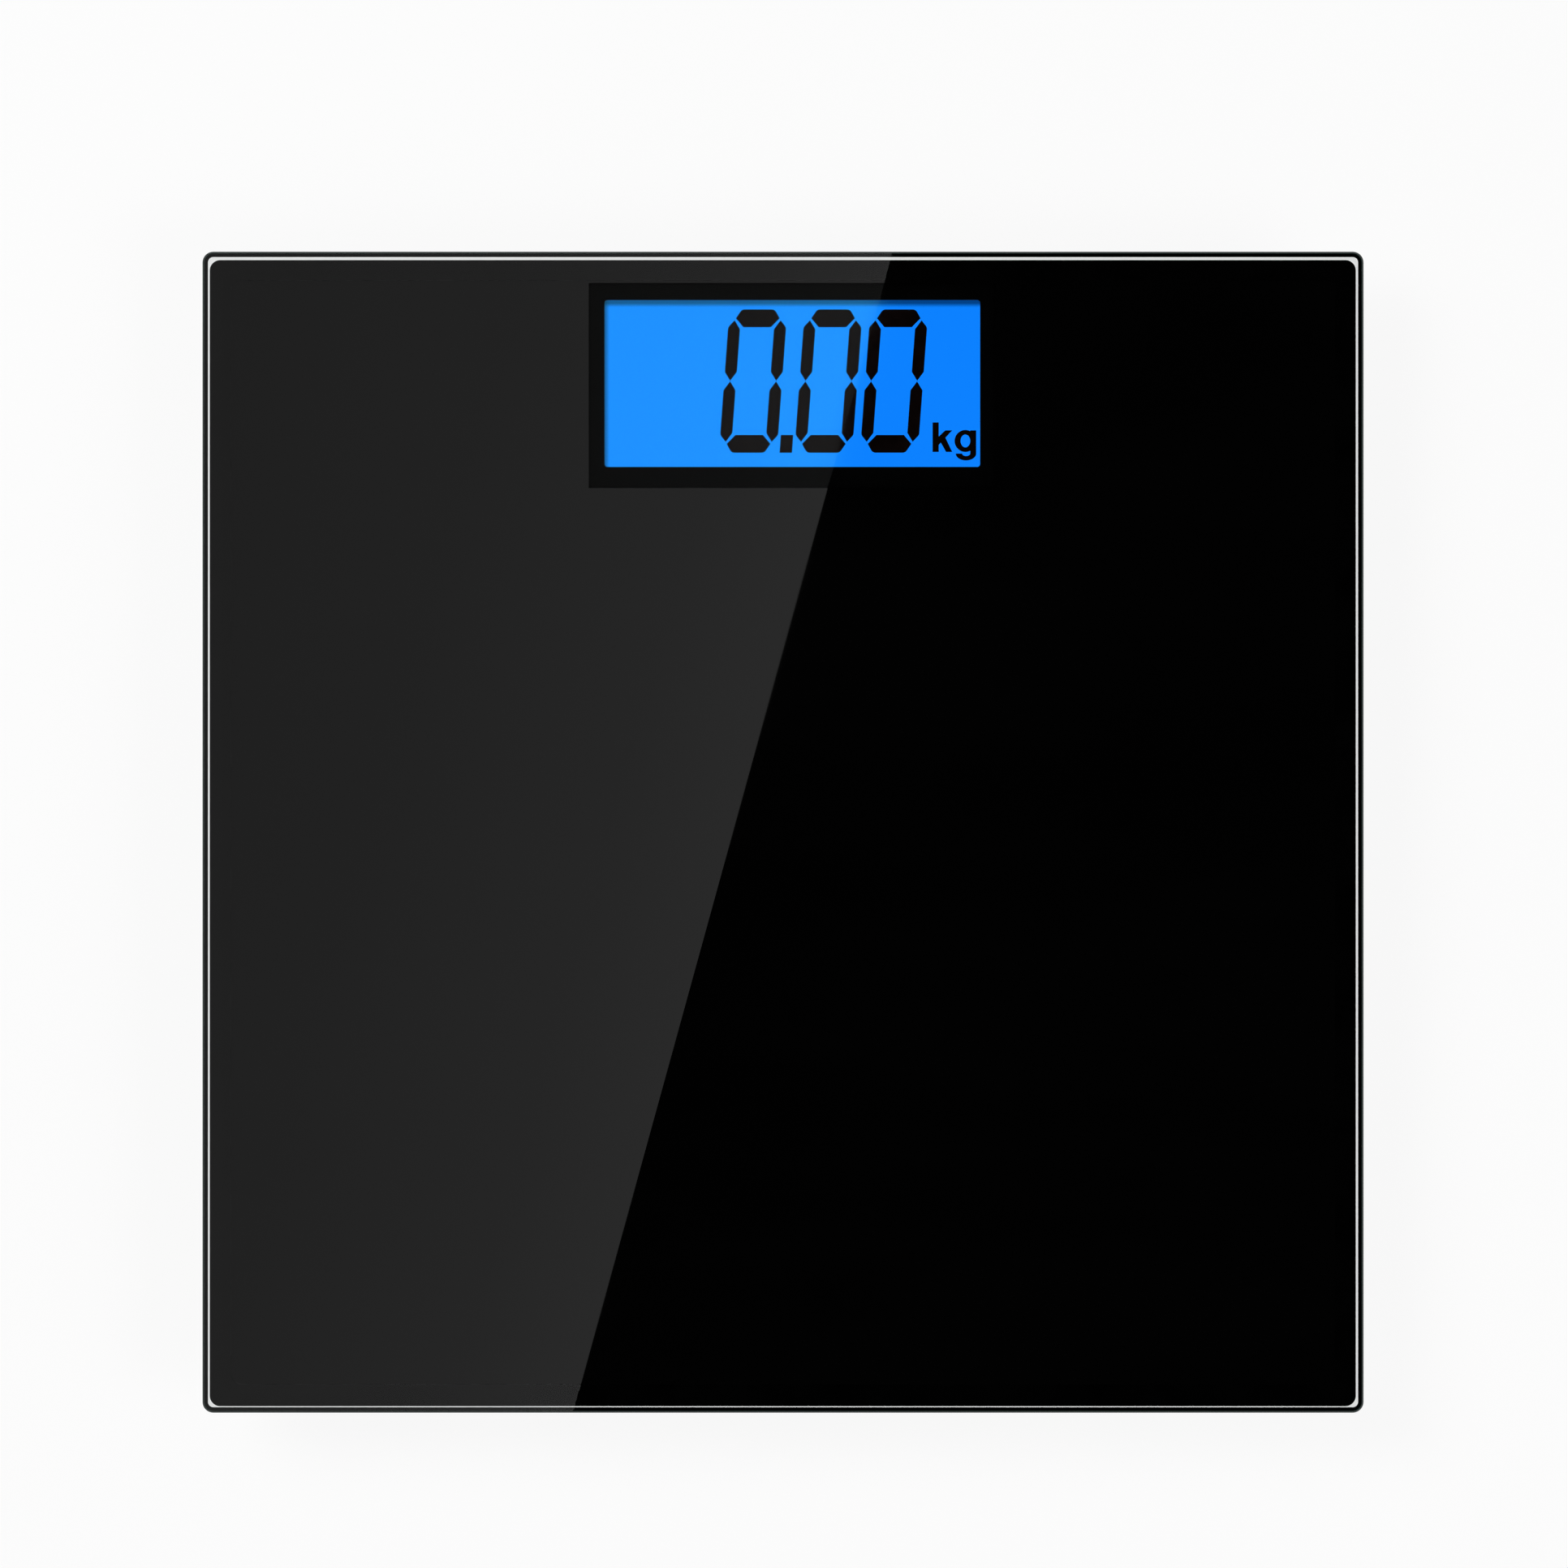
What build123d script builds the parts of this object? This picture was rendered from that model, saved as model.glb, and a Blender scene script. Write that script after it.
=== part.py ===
# Square glass bathroom scale: a printed glass platform on four load cell feet, with a
# backlit display case, its battery bay and the load cell leads fixed under the glass.
# Millimetres. The origin is on the floor under the middle of the platform, +X is to the
# right, +Y points away from the person who stands on the glass, and +Z is up.
import os
from math import copysign, radians, sqrt, tan

from build123d import *

os.makedirs("parts", exist_ok=True)

# Glass platform and the prints on its underside
PLATFORM_SIDE = 300.0
GLASS_THICKNESS = 6.0
GLASS_CORNER = 2.8
GLASS_ARRIS = 0.4
PRINT_THICKNESS = 0.1
LINE_EDGE_GAP = 1.25
LINE_WIDTH = 0.52
LINE_OUTER_CORNER = 1.4
LINE_INNER_CORNER = 2.7
LINE_SHIFT_X = -0.06
LINE_SHIFT_Y = -0.26

# Display as it shows through the glass
LIT_WIDTH = 97.2
LIT_DEPTH = 43.2
LIT_CORNER = 0.8
LIT_EDGE_GAP = 12.3
DISPLAY_X = 2.4
WINDOW_SIDE_MARGIN = 4.0
WINDOW_BACK_MARGIN = 4.2
WINDOW_FRONT_MARGIN = 5.6

# Digits, point and unit, set from the right end of the lit area to the left
DIGIT_HEIGHT = 37.1
DIGIT_WIDTH = 15.0
DIGIT_SLANT = 4.2
UPRIGHT_STROKE = 3.1
LEVEL_STROKE = 4.6
LEVEL_GAP = 0.3
LEVEL_MITRE = 2.1
LEVEL_CROWN = 1.4
UPRIGHT_GAP = 0.53
UPRIGHT_MITRE = 2.3
UPRIGHT_CROWN = 1.8
CROWN_ROUND = 1.4
WAIST_GAP = 0.08
SEGMENT_THICKNESS = 0.1
DIGITS_FRONT = 3.7
DIGIT_SPACE = 2.0
POINT_ROOM = 2.5
POINT_WIDTH = 3.2
POINT_GAP = 0.7
UNIT_SPACE = 3.8
UNIT_MARGIN = 1.0
UNIT_LIFT = 0.2
UNIT_HEIGHT = 7.65
UNIT_X_HEIGHT = 5.6
UNIT_STROKE = 1.6
UNIT_GAP = 0.6
K_WIDTH = 5.1
K_ARM_WIDTH = 1.8
K_ARM_LOW = 1.8
K_ARM_HIGH = 4.0
K_FORK_LEFT = (1.98, 2.7)
K_FORK_RIGHT = (3.2, 4.0)
G_WIDTH = 5.6
G_BOWL_HEIGHT = 5.7
G_COUNTER_WIDTH = 2.5
G_COUNTER_HEIGHT = 3.3
G_TAIL_DROP = 0.4
G_TAIL_WIDTH = 5.3
G_TAIL_DEPTH = 1.8
G_HOLLOW_WIDTH = 2.1
G_HOLLOW_DEPTH = 0.65

# Feet
PAD_DIAMETER = 34.0
PAD_PROUD = 1.2
PAD_SEAT = 1.2
PAD_CLEARANCE = 0.2
PAD_GROOVE_WIDTH = 1.6
PAD_GROOVE_DEPTH = 0.6
PAD_GROOVE_RADII = (12.0, 7.0)
CAP_FLOOR = 1.6
CAP_WALL = 2.0
CAP_FLANGE = 1.5
CAP_REVEAL = 3.4
CAP_CLEARANCE = 0.4
CAP_SLACK = 0.3
CAP_RIB_COUNT = 6
CAP_RIB_THICKNESS = 1.4
CAP_EDGE = 0.8
BOSS_DIAMETER = 8.0
BOSS_HEIGHT = 6.2
CELL_SIDE = 34.0
CELL_THICKNESS = 2.5
CELL_CORNER = 3.0
CELL_RAIL = 6.0
CELL_CLEARANCE = 0.3
CELL_HEADROOM = 3.8
TONGUE_WIDTH = 10.0
TONGUE_TIP = 5.0
SEALANT_LENGTH = 9.0
SEALANT_WIDTH = 12.0
SEALANT_HEIGHT = 1.7
SEALANT_EDGE = 0.6
MOUNT_WALL = 2.0
MOUNT_PLATE = 2.0
MOUNT_EDGE = 1.0
POCKET_WALL = 1.4
BEARER_LENGTH = 24.0
BEARER_WIDTH = 3.0
LIP_HEIGHT = 1.4
LIP_REACH = 2.0
CELL_ROOM = 2.2
TAPE_THICKNESS = 0.8
TAPE_MARGIN = 0.8

# Display case
CASE_PLATE = 1.4
CASE_WALL = 2.0
CASE_CORNER = 5.0
CASE_EDGE = 0.6
PARTITION = 1.6
BOSS_WALL = 2.0
BOSS_SPACING = 0.6
BOSS_SINK = 0.6
POST_WALL = 1.7
COVER_THICKNESS = 2.2

# Display module
LCD_BORDER = 3.0
LCD_SHEET = 1.1
LCD_LEDGE = 3.0
LCD_CLEARANCE = 0.1
TRAY_WALL = 1.5
TRAY_FLOOR = 0.6
GUIDE_THICKNESS = 3.0
GUIDE_CLEARANCE = 0.2
LED_COUNT = 3
LED_DEPTH = 1.2
LED_LENGTH = 3.0
LED_HEIGHT = 1.6
LED_PITCH = 13.0
STRIP_WIDTH = 2.0
STRIP_INSET = 6.0

# Circuit board and what is on its underside
BOARD_THICKNESS = 1.6
BOARD_CLEARANCE = 0.4
BOARD_EDGE = 1.0
BOARD_FRONT_ROOM = 3.0
POST_INSET = 9.0
CHIP_DIAMETER = 14.0
CHIP_HEIGHT = 1.8
CHIP_EDGE = 1.2
CRYSTAL_LENGTH = 7.0
CRYSTAL_WIDTH = 3.4
CRYSTAL_HEIGHT = 2.0
CRYSTAL_X = -16.0
SMALL_LENGTH = 2.0
SMALL_WIDTH = 1.2
SMALL_HEIGHT = 0.7
SMALL_PITCH_X = 5.0
SMALL_PITCH_Y = 4.0
SMALL_COLUMNS = 4
SMALL_ROWS = 4
SMALL_SETBACK = 24.0

# Unit switch and its button
KEY_SETBACK = 26.0
KEY_Y = -10.0
SWITCH_SIDE = 6.0
SWITCH_HEIGHT = 2.0
PLUNGER_DIAMETER = 3.2
PLUNGER_LENGTH = 0.5
PLUNGER_SUNK = 0.8
PLUNGER_CLEARANCE = 0.2
KEY_TRAVEL = 0.3
KEY_DIAMETER = 8.0
KEY_FLANGE = 0.6
KEY_FLANGE_REACH = 1.2
KEY_STEM = 0.2
KEY_CLEARANCE = 0.3
KEY_SUNK = 0.3
KEY_EDGE = 0.3
DISH_DIAMETER = 15.0
DISH_DEPTH = 0.6

# Screws
SCREW_CLEARANCE = 0.05
COVER_SCREW_DIAMETER = 2.4
COVER_SCREW_LENGTH = 7.0
COVER_HEAD_DIAMETER = 4.4
COVER_HEAD_HEIGHT = 1.2
COVER_HEAD_CLEARANCE = 0.3
COVER_HEAD_SUNK = 0.1
BOARD_SCREW_DIAMETER = 1.8
BOARD_SCREW_LENGTH = 5.0
BOARD_HEAD_DIAMETER = 3.6
BOARD_HEAD_HEIGHT = 1.2
CROSS_LENGTH = 2.0
CROSS_WIDTH = 0.5
CROSS_DEPTH = 0.7
BORE_SPARE = 0.5

# Battery bay, cells and contacts
BATTERY_DIAMETER = 10.5
BATTERY_LENGTH = 44.5
BATTERY_NUB_DIAMETER = 3.8
BATTERY_NUB_LENGTH = 1.0
BATTERY_EDGE = 0.6
BATTERY_CLEARANCE = 0.2
CONTACT_SHEET = 0.4
CONTACT_HEIGHT = 8.0
CONTACT_WIDTH = 7.0
CONTACT_REACH = 4.0
CONTACT_GAP = 0.1
TAB_HEIGHT = 2.0
TAB_REACH = 2.2
TAB_CLEARANCE = 0.15
DOOR_OVERLAP = 1.2
DOOR_TONGUE = 1.4
DOOR_LEDGE = 1.1
DOOR_CLEARANCE = 0.1
DOOR_SIDE_CLEARANCE = 0.25
GRIP_LENGTH = 26.0
GRIP_WIDTH = 0.8
GRIP_HEIGHT = 0.35
GRIP_PITCH = 1.8
GRIP_COUNT = 4
GRIP_SETBACK = 3.0

# Leads from the load cells and the battery
LEAD_DIAMETER = 1.0
LEAD_PITCH = 1.1
LEAD_LIFT = 0.3
LEAD_GLASS_GAP = 0.1
LEAD_SLOT_HEIGHT = 3.0
LEAD_CLEARANCE = 0.4
LEAD_STUB = 4.0
LEAD_CLIMB = 12.0
LEAD_APPROACH = 25.0
LEAD_BOARD_REACH = 2.0
LEAD_BEND_SHARE = 0.45
JOINT_LENGTH = 1.4
JOINT_WIDTH = 0.9
JOINT_TOP = 0.4
JOINT_CLEARANCE = 0.4
CLIP_LENGTH = 7.0
CLIP_FLANGE = 4.0
CLIP_WEB = 1.0
CLIP_CLEARANCE = 0.15
CLIP_SETBACK = 15.0
CLIP_SHARE = 0.5
CLIP_EDGE = 0.4

# Heights above the floor, from the foot's stack up to the glass
pad_top = PAD_PROUD + PAD_SEAT
cap_floor_top = pad_top + CAP_FLOOR
cell_bottom = cap_floor_top + BOSS_HEIGHT
cell_top = cell_bottom + CELL_THICKNESS
mount_ceiling = cell_top + CELL_HEADROOM
mount_top = mount_ceiling + MOUNT_PLATE
print_bottom = mount_top + TAPE_THICKNESS
glass_bottom = print_bottom + PRINT_THICKNESS

# Foot radii and the heights of its lip and flange
cell_reach = (CELL_SIDE / 2 - CELL_CORNER) * sqrt(2) + CELL_CORNER
mount_bore = cell_reach + CELL_ROOM
mount_radius = mount_bore + MOUNT_WALL
flange_radius = mount_bore - CAP_CLEARANCE
lip_radius = mount_bore - LIP_REACH
cap_radius = lip_radius - CAP_CLEARANCE
mount_bottom = PAD_PROUD + CAP_REVEAL
lip_top = mount_bottom + LIP_HEIGHT
flange_bottom = lip_top + CAP_SLACK
flange_top = flange_bottom + CAP_FLANGE
pocket_side = CELL_SIDE + 2 * CELL_CLEARANCE
cell_window = CELL_SIDE - 2 * CELL_RAIL
sealant_end = cell_window / 2 + CELL_RAIL / 2

# Heights under the glass, from the case's plate down to its cover
plate_bottom = mount_top - CASE_PLATE
lcd_top = plate_bottom - LCD_CLEARANCE
lcd_bottom = lcd_top - 2 * LCD_SHEET
board_top = lcd_bottom - GUIDE_THICKNESS - TRAY_FLOOR
board_bottom = board_top - BOARD_THICKNESS
key_stack = SWITCH_HEIGHT + PLUNGER_LENGTH + KEY_STEM + KEY_FLANGE
bay_floor = plate_bottom - BATTERY_DIAMETER - 2 * BATTERY_CLEARANCE
cover_top = min(bay_floor, board_bottom - key_stack)
cover_bottom = cover_top - COVER_THICKNESS

# Plan of the display, from the far edge of the glass towards the middle
lit_back = PLATFORM_SIDE / 2 - LIT_EDGE_GAP
lit_front = lit_back - LIT_DEPTH
lit_left = DISPLAY_X - LIT_WIDTH / 2
lit_middle = (lit_back + lit_front) / 2
window_back = lit_back + WINDOW_BACK_MARGIN
window_front = lit_front - WINDOW_FRONT_MARGIN
window_width = LIT_WIDTH + 2 * WINDOW_SIDE_MARGIN
lcd_width = LIT_WIDTH + 2 * LCD_BORDER
lcd_back = lit_back + LCD_BORDER
lcd_front = lit_front - LCD_BORDER
ledge_front = lcd_front - LCD_LEDGE
strip_middle = (ledge_front + lcd_front) / 2
tray_width = lcd_width + 2 * TRAY_WALL
tray_back = lcd_back + TRAY_WALL

# Levels of the leads, and the width of a slot that three of them pass through
lead_radius = LEAD_DIAMETER / 2
lead_cell_z = cell_top + LEAD_LIFT + lead_radius
lead_board_z = board_top + LEAD_LIFT + lead_radius
lead_glass_z = print_bottom - LEAD_GLASS_GAP - lead_radius
lead_slot = 2 * LEAD_PITCH + LEAD_DIAMETER + 2 * LEAD_CLEARANCE

# Plan of the case, from its contents outwards: it is as wide as the board's row and the
# battery's row need, and the leads come in between the battery's own slots and the bosses
bay_length = 2 * BATTERY_LENGTH + CONTACT_REACH + CONTACT_SHEET
bay_end = bay_length / 2 + PARTITION
battery_lead_x = bay_end + TAB_REACH / 2
battery_slot_end = battery_lead_x + lead_radius + LEAD_CLEARANCE
post_diameter = BOARD_SCREW_DIAMETER + 2 * POST_WALL
post_x = tray_width / 2 + BOSS_SPACING + post_diameter / 2
board_width = 2 * (post_x + post_diameter / 2 + BOARD_EDGE)
boss_diameter = COVER_SCREW_DIAMETER + 2 * BOSS_WALL
board_row = board_width / 2 + BOSS_SPACING
battery_row = battery_slot_end + lead_slot + 2 * BOSS_SPACING
boss_x = max(board_row, battery_row) + boss_diameter / 2
entry_x = (battery_slot_end + boss_x - boss_diameter / 2) / 2
case_width = 2 * (boss_x + boss_diameter / 2 - BOSS_SINK + CASE_WALL)
room_width = case_width - 2 * CASE_WALL
case_back = max(tray_back + BOARD_CLEARANCE, window_back) + CASE_WALL
room_back = case_back - CASE_WALL
room_front = ledge_front - BOARD_FRONT_ROOM
bay_back = room_front - PARTITION
bay_front = bay_back - BATTERY_DIAMETER - 2 * BATTERY_CLEARANCE
case_front = bay_front - CASE_WALL
case_depth = case_back - case_front
case_middle = (case_back + case_front) / 2
bay_middle = (bay_back + bay_front) / 2
board_back = room_back - BOARD_CLEARANCE
board_front = room_front + BOARD_CLEARANCE
board_middle = (board_back + board_front) / 2
boss_back = room_back + BOSS_SINK - boss_diameter / 2
boss_front = bay_front - BOSS_SINK + boss_diameter / 2
boss_spots = [(DISPLAY_X + side * boss_x, y) for side in (-1, 1) for y in (boss_front, boss_back)]
post_spots = [
    (DISPLAY_X + side * post_x, y)
    for side in (-1, 1)
    for y in (board_front + POST_INSET, board_back - POST_INSET)
]
battery_z = cover_top + BATTERY_CLEARANCE + BATTERY_DIAMETER / 2
cover_seat = cover_bottom + COVER_HEAD_SUNK + COVER_HEAD_HEIGHT
door_half = bay_length / 2 + DOOR_OVERLAP
door_depth = bay_back + DOOR_OVERLAP - case_front
key_x = DISPLAY_X + board_width / 2 - KEY_SETBACK
key_y = board_middle + KEY_Y

# Feet, midway between the side of the case and the edge of the glass: each plane has its
# origin on the floor and its X axis along the way out of its leads
foot_place = (PLATFORM_SIDE / 2 + DISPLAY_X + case_width / 2) / 2
foot_planes = {
    "front_left": Plane(origin=(-foot_place, -foot_place, 0), x_dir=(0, 1, 0), z_dir=(0, 0, 1)),
    "front_right": Plane(origin=(foot_place, -foot_place, 0), x_dir=(0, 1, 0), z_dir=(0, 0, 1)),
    "back_left": Plane(origin=(-foot_place, foot_place, 0), x_dir=(1, 0, 0), z_dir=(0, 0, 1)),
    "back_right": Plane(origin=(foot_place, foot_place, 0), x_dir=(-1, 0, 0), z_dir=(0, 0, 1)),
}

# Where the leads end on the board
front_pad_y = strip_middle - STRIP_WIDTH / 2 - JOINT_CLEARANCE - JOINT_LENGTH
back_pad_x = board_width / 2 - LEAD_BOARD_REACH


def keep(part, name):
    """Label a finished piece and write it to its own file."""
    part.label = name
    export_step(part, f"parts/{name}.step")


# Glass platform: a square plate with its edges ground
with BuildPart() as glass_platform:
    with BuildSketch(Plane.XY.offset(glass_bottom)):
        RectangleRounded(PLATFORM_SIDE, PLATFORM_SIDE, GLASS_CORNER)
    extrude(amount=GLASS_THICKNESS)
    flat_faces = glass_platform.faces().filter_by(Axis.Z)
    chamfer(flat_faces.edges(), GLASS_ARRIS)
keep(glass_platform.part, "glass_platform")

# Black print: an outer band and a field with the clear display window, either side of the line
line_outer = PLATFORM_SIDE - 2 * LINE_EDGE_GAP
line_inner = line_outer - 2 * LINE_WIDTH
print_side = PLATFORM_SIDE - 2 * GLASS_ARRIS
line_middle = (LINE_SHIFT_X, LINE_SHIFT_Y)
with BuildPart() as black_print:
    with BuildSketch(Plane.XY.offset(print_bottom)):
        RectangleRounded(print_side, print_side, GLASS_CORNER - GLASS_ARRIS)
        RectangleRounded(line_outer, line_outer, LINE_OUTER_CORNER, mode=Mode.SUBTRACT)
        with Locations(line_middle):
            RectangleRounded(line_inner, line_inner, LINE_INNER_CORNER)
        with Locations((DISPLAY_X, (window_back + window_front) / 2)):
            Rectangle(window_width, window_back - window_front, mode=Mode.SUBTRACT)
    extrude(amount=PRINT_THICKNESS)
keep(black_print.part, "black_print")

with BuildPart() as border_line:
    with BuildSketch(Plane.XY.offset(print_bottom)):
        RectangleRounded(line_outer, line_outer, LINE_OUTER_CORNER)
        with Locations(line_middle):
            RectangleRounded(line_inner, line_inner, LINE_INNER_CORNER, mode=Mode.SUBTRACT)
    extrude(amount=PRINT_THICKNESS)
keep(border_line.part, "border_line")


def foot_tape(plane):
    """The adhesive disc between a foot mount and the print."""
    with BuildPart() as tape:
        with BuildSketch(plane.offset(mount_top)):
            Circle(mount_radius - TAPE_MARGIN)
        extrude(amount=TAPE_THICKNESS)
    return tape.part


def foot_mount(plane):
    """The cup glued to the glass: it seats the load cell and traps the foot cap."""
    with BuildPart() as mount:
        with BuildSketch(plane.offset(mount_bottom)):
            Circle(mount_radius)
        extrude(amount=mount_top - mount_bottom)
        with BuildSketch(plane.offset(mount_bottom)):
            Circle(lip_radius)
        extrude(amount=LIP_HEIGHT, mode=Mode.SUBTRACT)
        with BuildSketch(plane.offset(lip_top)):
            Circle(mount_bore)
        extrude(amount=mount_ceiling - lip_top, mode=Mode.SUBTRACT)
        # Pocket wall round the load cell, and the two bearers that press on its side rails
        with BuildSketch(plane.offset(cell_bottom + CELL_CLEARANCE)):
            Rectangle(pocket_side + 2 * POCKET_WALL, pocket_side + 2 * POCKET_WALL)
            Rectangle(pocket_side, pocket_side, mode=Mode.SUBTRACT)
        extrude(amount=mount_ceiling - cell_bottom - CELL_CLEARANCE)
        with BuildSketch(plane.offset(cell_top)):
            with GridLocations(0, CELL_SIDE - CELL_RAIL, 1, 2):
                Rectangle(BEARER_LENGTH, BEARER_WIDTH)
        extrude(amount=CELL_HEADROOM)
        # Slot where the three leads come out
        with BuildSketch(plane.offset(lead_cell_z - LEAD_SLOT_HEIGHT / 2)):
            with Locations((CELL_SIDE / 2, 0)):
                Rectangle(mount_radius, lead_slot, align=(Align.MIN, Align.CENTER))
        extrude(amount=LEAD_SLOT_HEIGHT, mode=Mode.SUBTRACT)
        rim = mount.edges().filter_by(GeomType.CIRCLE).group_by(Axis.Z)[0].sort_by(SortBy.RADIUS)[-1]
        fillet(rim, MOUNT_EDGE)
    return mount.part


def load_cell(plane):
    """A stamped steel frame with a sprung tongue, its root towards the leads."""
    root = cell_window / 2 + CELL_RAIL / 2
    with BuildPart() as cell:
        with BuildSketch(plane.offset(cell_bottom)):
            RectangleRounded(CELL_SIDE, CELL_SIDE, CELL_CORNER)
            Rectangle(cell_window, cell_window, mode=Mode.SUBTRACT)
            with Locations((root, 0)):
                Rectangle(root + TONGUE_TIP, TONGUE_WIDTH, align=(Align.MAX, Align.CENTER))
        extrude(amount=CELL_THICKNESS)
    return cell.part


def gauge_sealant(plane):
    """The bead of sealant over the strain gauges at the root of the tongue."""
    with BuildPart() as sealant:
        with BuildSketch(plane.offset(cell_top)):
            with Locations((sealant_end, 0)):
                Rectangle(SEALANT_LENGTH, SEALANT_WIDTH, align=(Align.MAX, Align.CENTER))
        extrude(amount=SEALANT_HEIGHT)
        fillet(sealant.edges().group_by(Axis.Z)[-1], SEALANT_EDGE)
    return sealant.part


def foot_cap(plane):
    """The foot that moves: a ribbed cup whose boss bears on the tongue."""
    cap_bore = cap_radius - CAP_WALL
    with BuildPart() as cap:
        with BuildSketch(plane.offset(PAD_PROUD)):
            Circle(cap_radius)
        extrude(amount=flange_top - PAD_PROUD)
        with BuildSketch(plane.offset(flange_bottom)):
            Circle(flange_radius)
        extrude(amount=CAP_FLANGE)
        with BuildSketch(plane.offset(cap_floor_top)):
            Circle(cap_bore)
        extrude(amount=flange_top - cap_floor_top, mode=Mode.SUBTRACT)
        with BuildSketch(plane.offset(cap_floor_top)):
            with PolarLocations(0, CAP_RIB_COUNT):
                Rectangle(cap_bore + CAP_WALL / 2, CAP_RIB_THICKNESS, align=(Align.MIN, Align.CENTER))
        extrude(amount=flange_bottom - cap_floor_top)
        with BuildSketch(plane.offset(cap_floor_top)):
            Circle(BOSS_DIAMETER / 2)
        extrude(amount=BOSS_HEIGHT)
        with BuildSketch(plane.offset(PAD_PROUD)):
            Circle(PAD_DIAMETER / 2 + PAD_CLEARANCE)
        extrude(amount=PAD_SEAT, mode=Mode.SUBTRACT)
        rim = cap.edges().filter_by(GeomType.CIRCLE).group_by(Axis.Z)[0].sort_by(SortBy.RADIUS)[-1]
        fillet(rim, CAP_EDGE)
    return cap.part


def rubber_pad(plane):
    """The grooved rubber disc that stands on the floor."""
    with BuildPart() as pad:
        with BuildSketch(plane):
            Circle(PAD_DIAMETER / 2)
        extrude(amount=pad_top)
        with BuildSketch(plane):
            for radius in PAD_GROOVE_RADII:
                Circle(radius + PAD_GROOVE_WIDTH)
                Circle(radius, mode=Mode.SUBTRACT)
        extrude(amount=PAD_GROOVE_DEPTH, mode=Mode.SUBTRACT)
    return pad.part


foot_pieces = {
    "foot_tape": foot_tape,
    "foot_mount": foot_mount,
    "load_cell": load_cell,
    "gauge_sealant": gauge_sealant,
    "foot_cap": foot_cap,
    "rubber_pad": rubber_pad,
}
for corner, plane in foot_planes.items():
    for piece, make in foot_pieces.items():
        keep(make(plane), f"{piece}_{corner}")


def case_outline():
    """The plan of the display case, which its cover shares."""
    with BuildSketch() as outline:
        with Locations((DISPLAY_X, case_middle)):
            RectangleRounded(case_width, case_depth, CASE_CORNER)
    return outline.sketch


# Display case: a shallow box glued under the glass and open downwards
outline = case_outline()
with BuildPart() as display_case:
    with BuildSketch(Plane.XY.offset(cover_top)):
        add(outline)
    extrude(amount=mount_top - cover_top)
    # Rooms for the display, for the battery and at both ends of the battery strip
    with BuildSketch(Plane.XY.offset(cover_top)):
        with Locations((DISPLAY_X, room_front)):
            Rectangle(room_width, room_back - room_front, align=(Align.CENTER, Align.MIN))
        with Locations((DISPLAY_X, bay_middle)):
            Rectangle(room_width, bay_back - bay_front)
            Rectangle(2 * bay_end, bay_back - bay_front, mode=Mode.SUBTRACT)
            Rectangle(bay_length, bay_back - bay_front)
    extrude(amount=plate_bottom - cover_top, mode=Mode.SUBTRACT)
    # Bosses for the cover's screws and posts for the board's
    with BuildSketch(Plane.XY.offset(cover_top)):
        with Locations(*boss_spots):
            Circle(boss_diameter / 2)
    extrude(amount=plate_bottom - cover_top)
    with BuildSketch(Plane.XY.offset(board_top)):
        with Locations(*post_spots):
            Circle(post_diameter / 2)
    extrude(amount=plate_bottom - board_top)
    with BuildSketch(Plane.XY.offset(cover_top)):
        with Locations(*boss_spots):
            Circle(COVER_SCREW_DIAMETER / 2 + SCREW_CLEARANCE)
    extrude(amount=cover_seat + COVER_SCREW_LENGTH + BORE_SPARE - cover_top, mode=Mode.SUBTRACT)
    with BuildSketch(Plane.XY.offset(board_top)):
        with Locations(*post_spots):
            Circle(BOARD_SCREW_DIAMETER / 2 + SCREW_CLEARANCE)
    extrude(amount=BOARD_SCREW_LENGTH + BORE_SPARE - BOARD_THICKNESS, mode=Mode.SUBTRACT)
    # The opening that frames the lit display
    with BuildSketch(Plane.XY.offset(plate_bottom)):
        with Locations((DISPLAY_X, lit_middle)):
            RectangleRounded(LIT_WIDTH, LIT_DEPTH, LIT_CORNER)
    extrude(amount=CASE_PLATE, mode=Mode.SUBTRACT)
    # Slots for the load cell leads, in the side walls and through the front strip
    with BuildSketch(Plane.XY.offset(lead_board_z - LEAD_SLOT_HEIGHT / 2)):
        with Locations((DISPLAY_X, foot_place)):
            Rectangle(case_width, lead_slot)
            Rectangle(room_width, lead_slot, mode=Mode.SUBTRACT)
        with Locations((DISPLAY_X - entry_x, case_front), (DISPLAY_X + entry_x, case_front)):
            Rectangle(lead_slot, room_front - case_front, align=(Align.CENTER, Align.MIN))
        with Locations((DISPLAY_X - battery_lead_x, bay_back), (DISPLAY_X + battery_lead_x, bay_back)):
            Rectangle(LEAD_DIAMETER + 2 * LEAD_CLEARANCE, PARTITION, align=(Align.CENTER, Align.MIN))
    extrude(amount=LEAD_SLOT_HEIGHT, mode=Mode.SUBTRACT)
    # Slits for the tabs of the battery contacts
    with BuildSketch(Plane.XY.offset(lead_board_z - TAB_HEIGHT / 2 - TAB_CLEARANCE)):
        with Locations((DISPLAY_X, bay_middle)):
            Rectangle(2 * bay_end, CONTACT_SHEET + 2 * TAB_CLEARANCE)
    extrude(amount=TAB_HEIGHT + 2 * TAB_CLEARANCE, mode=Mode.SUBTRACT)
keep(display_case.part, "display_case")

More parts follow.
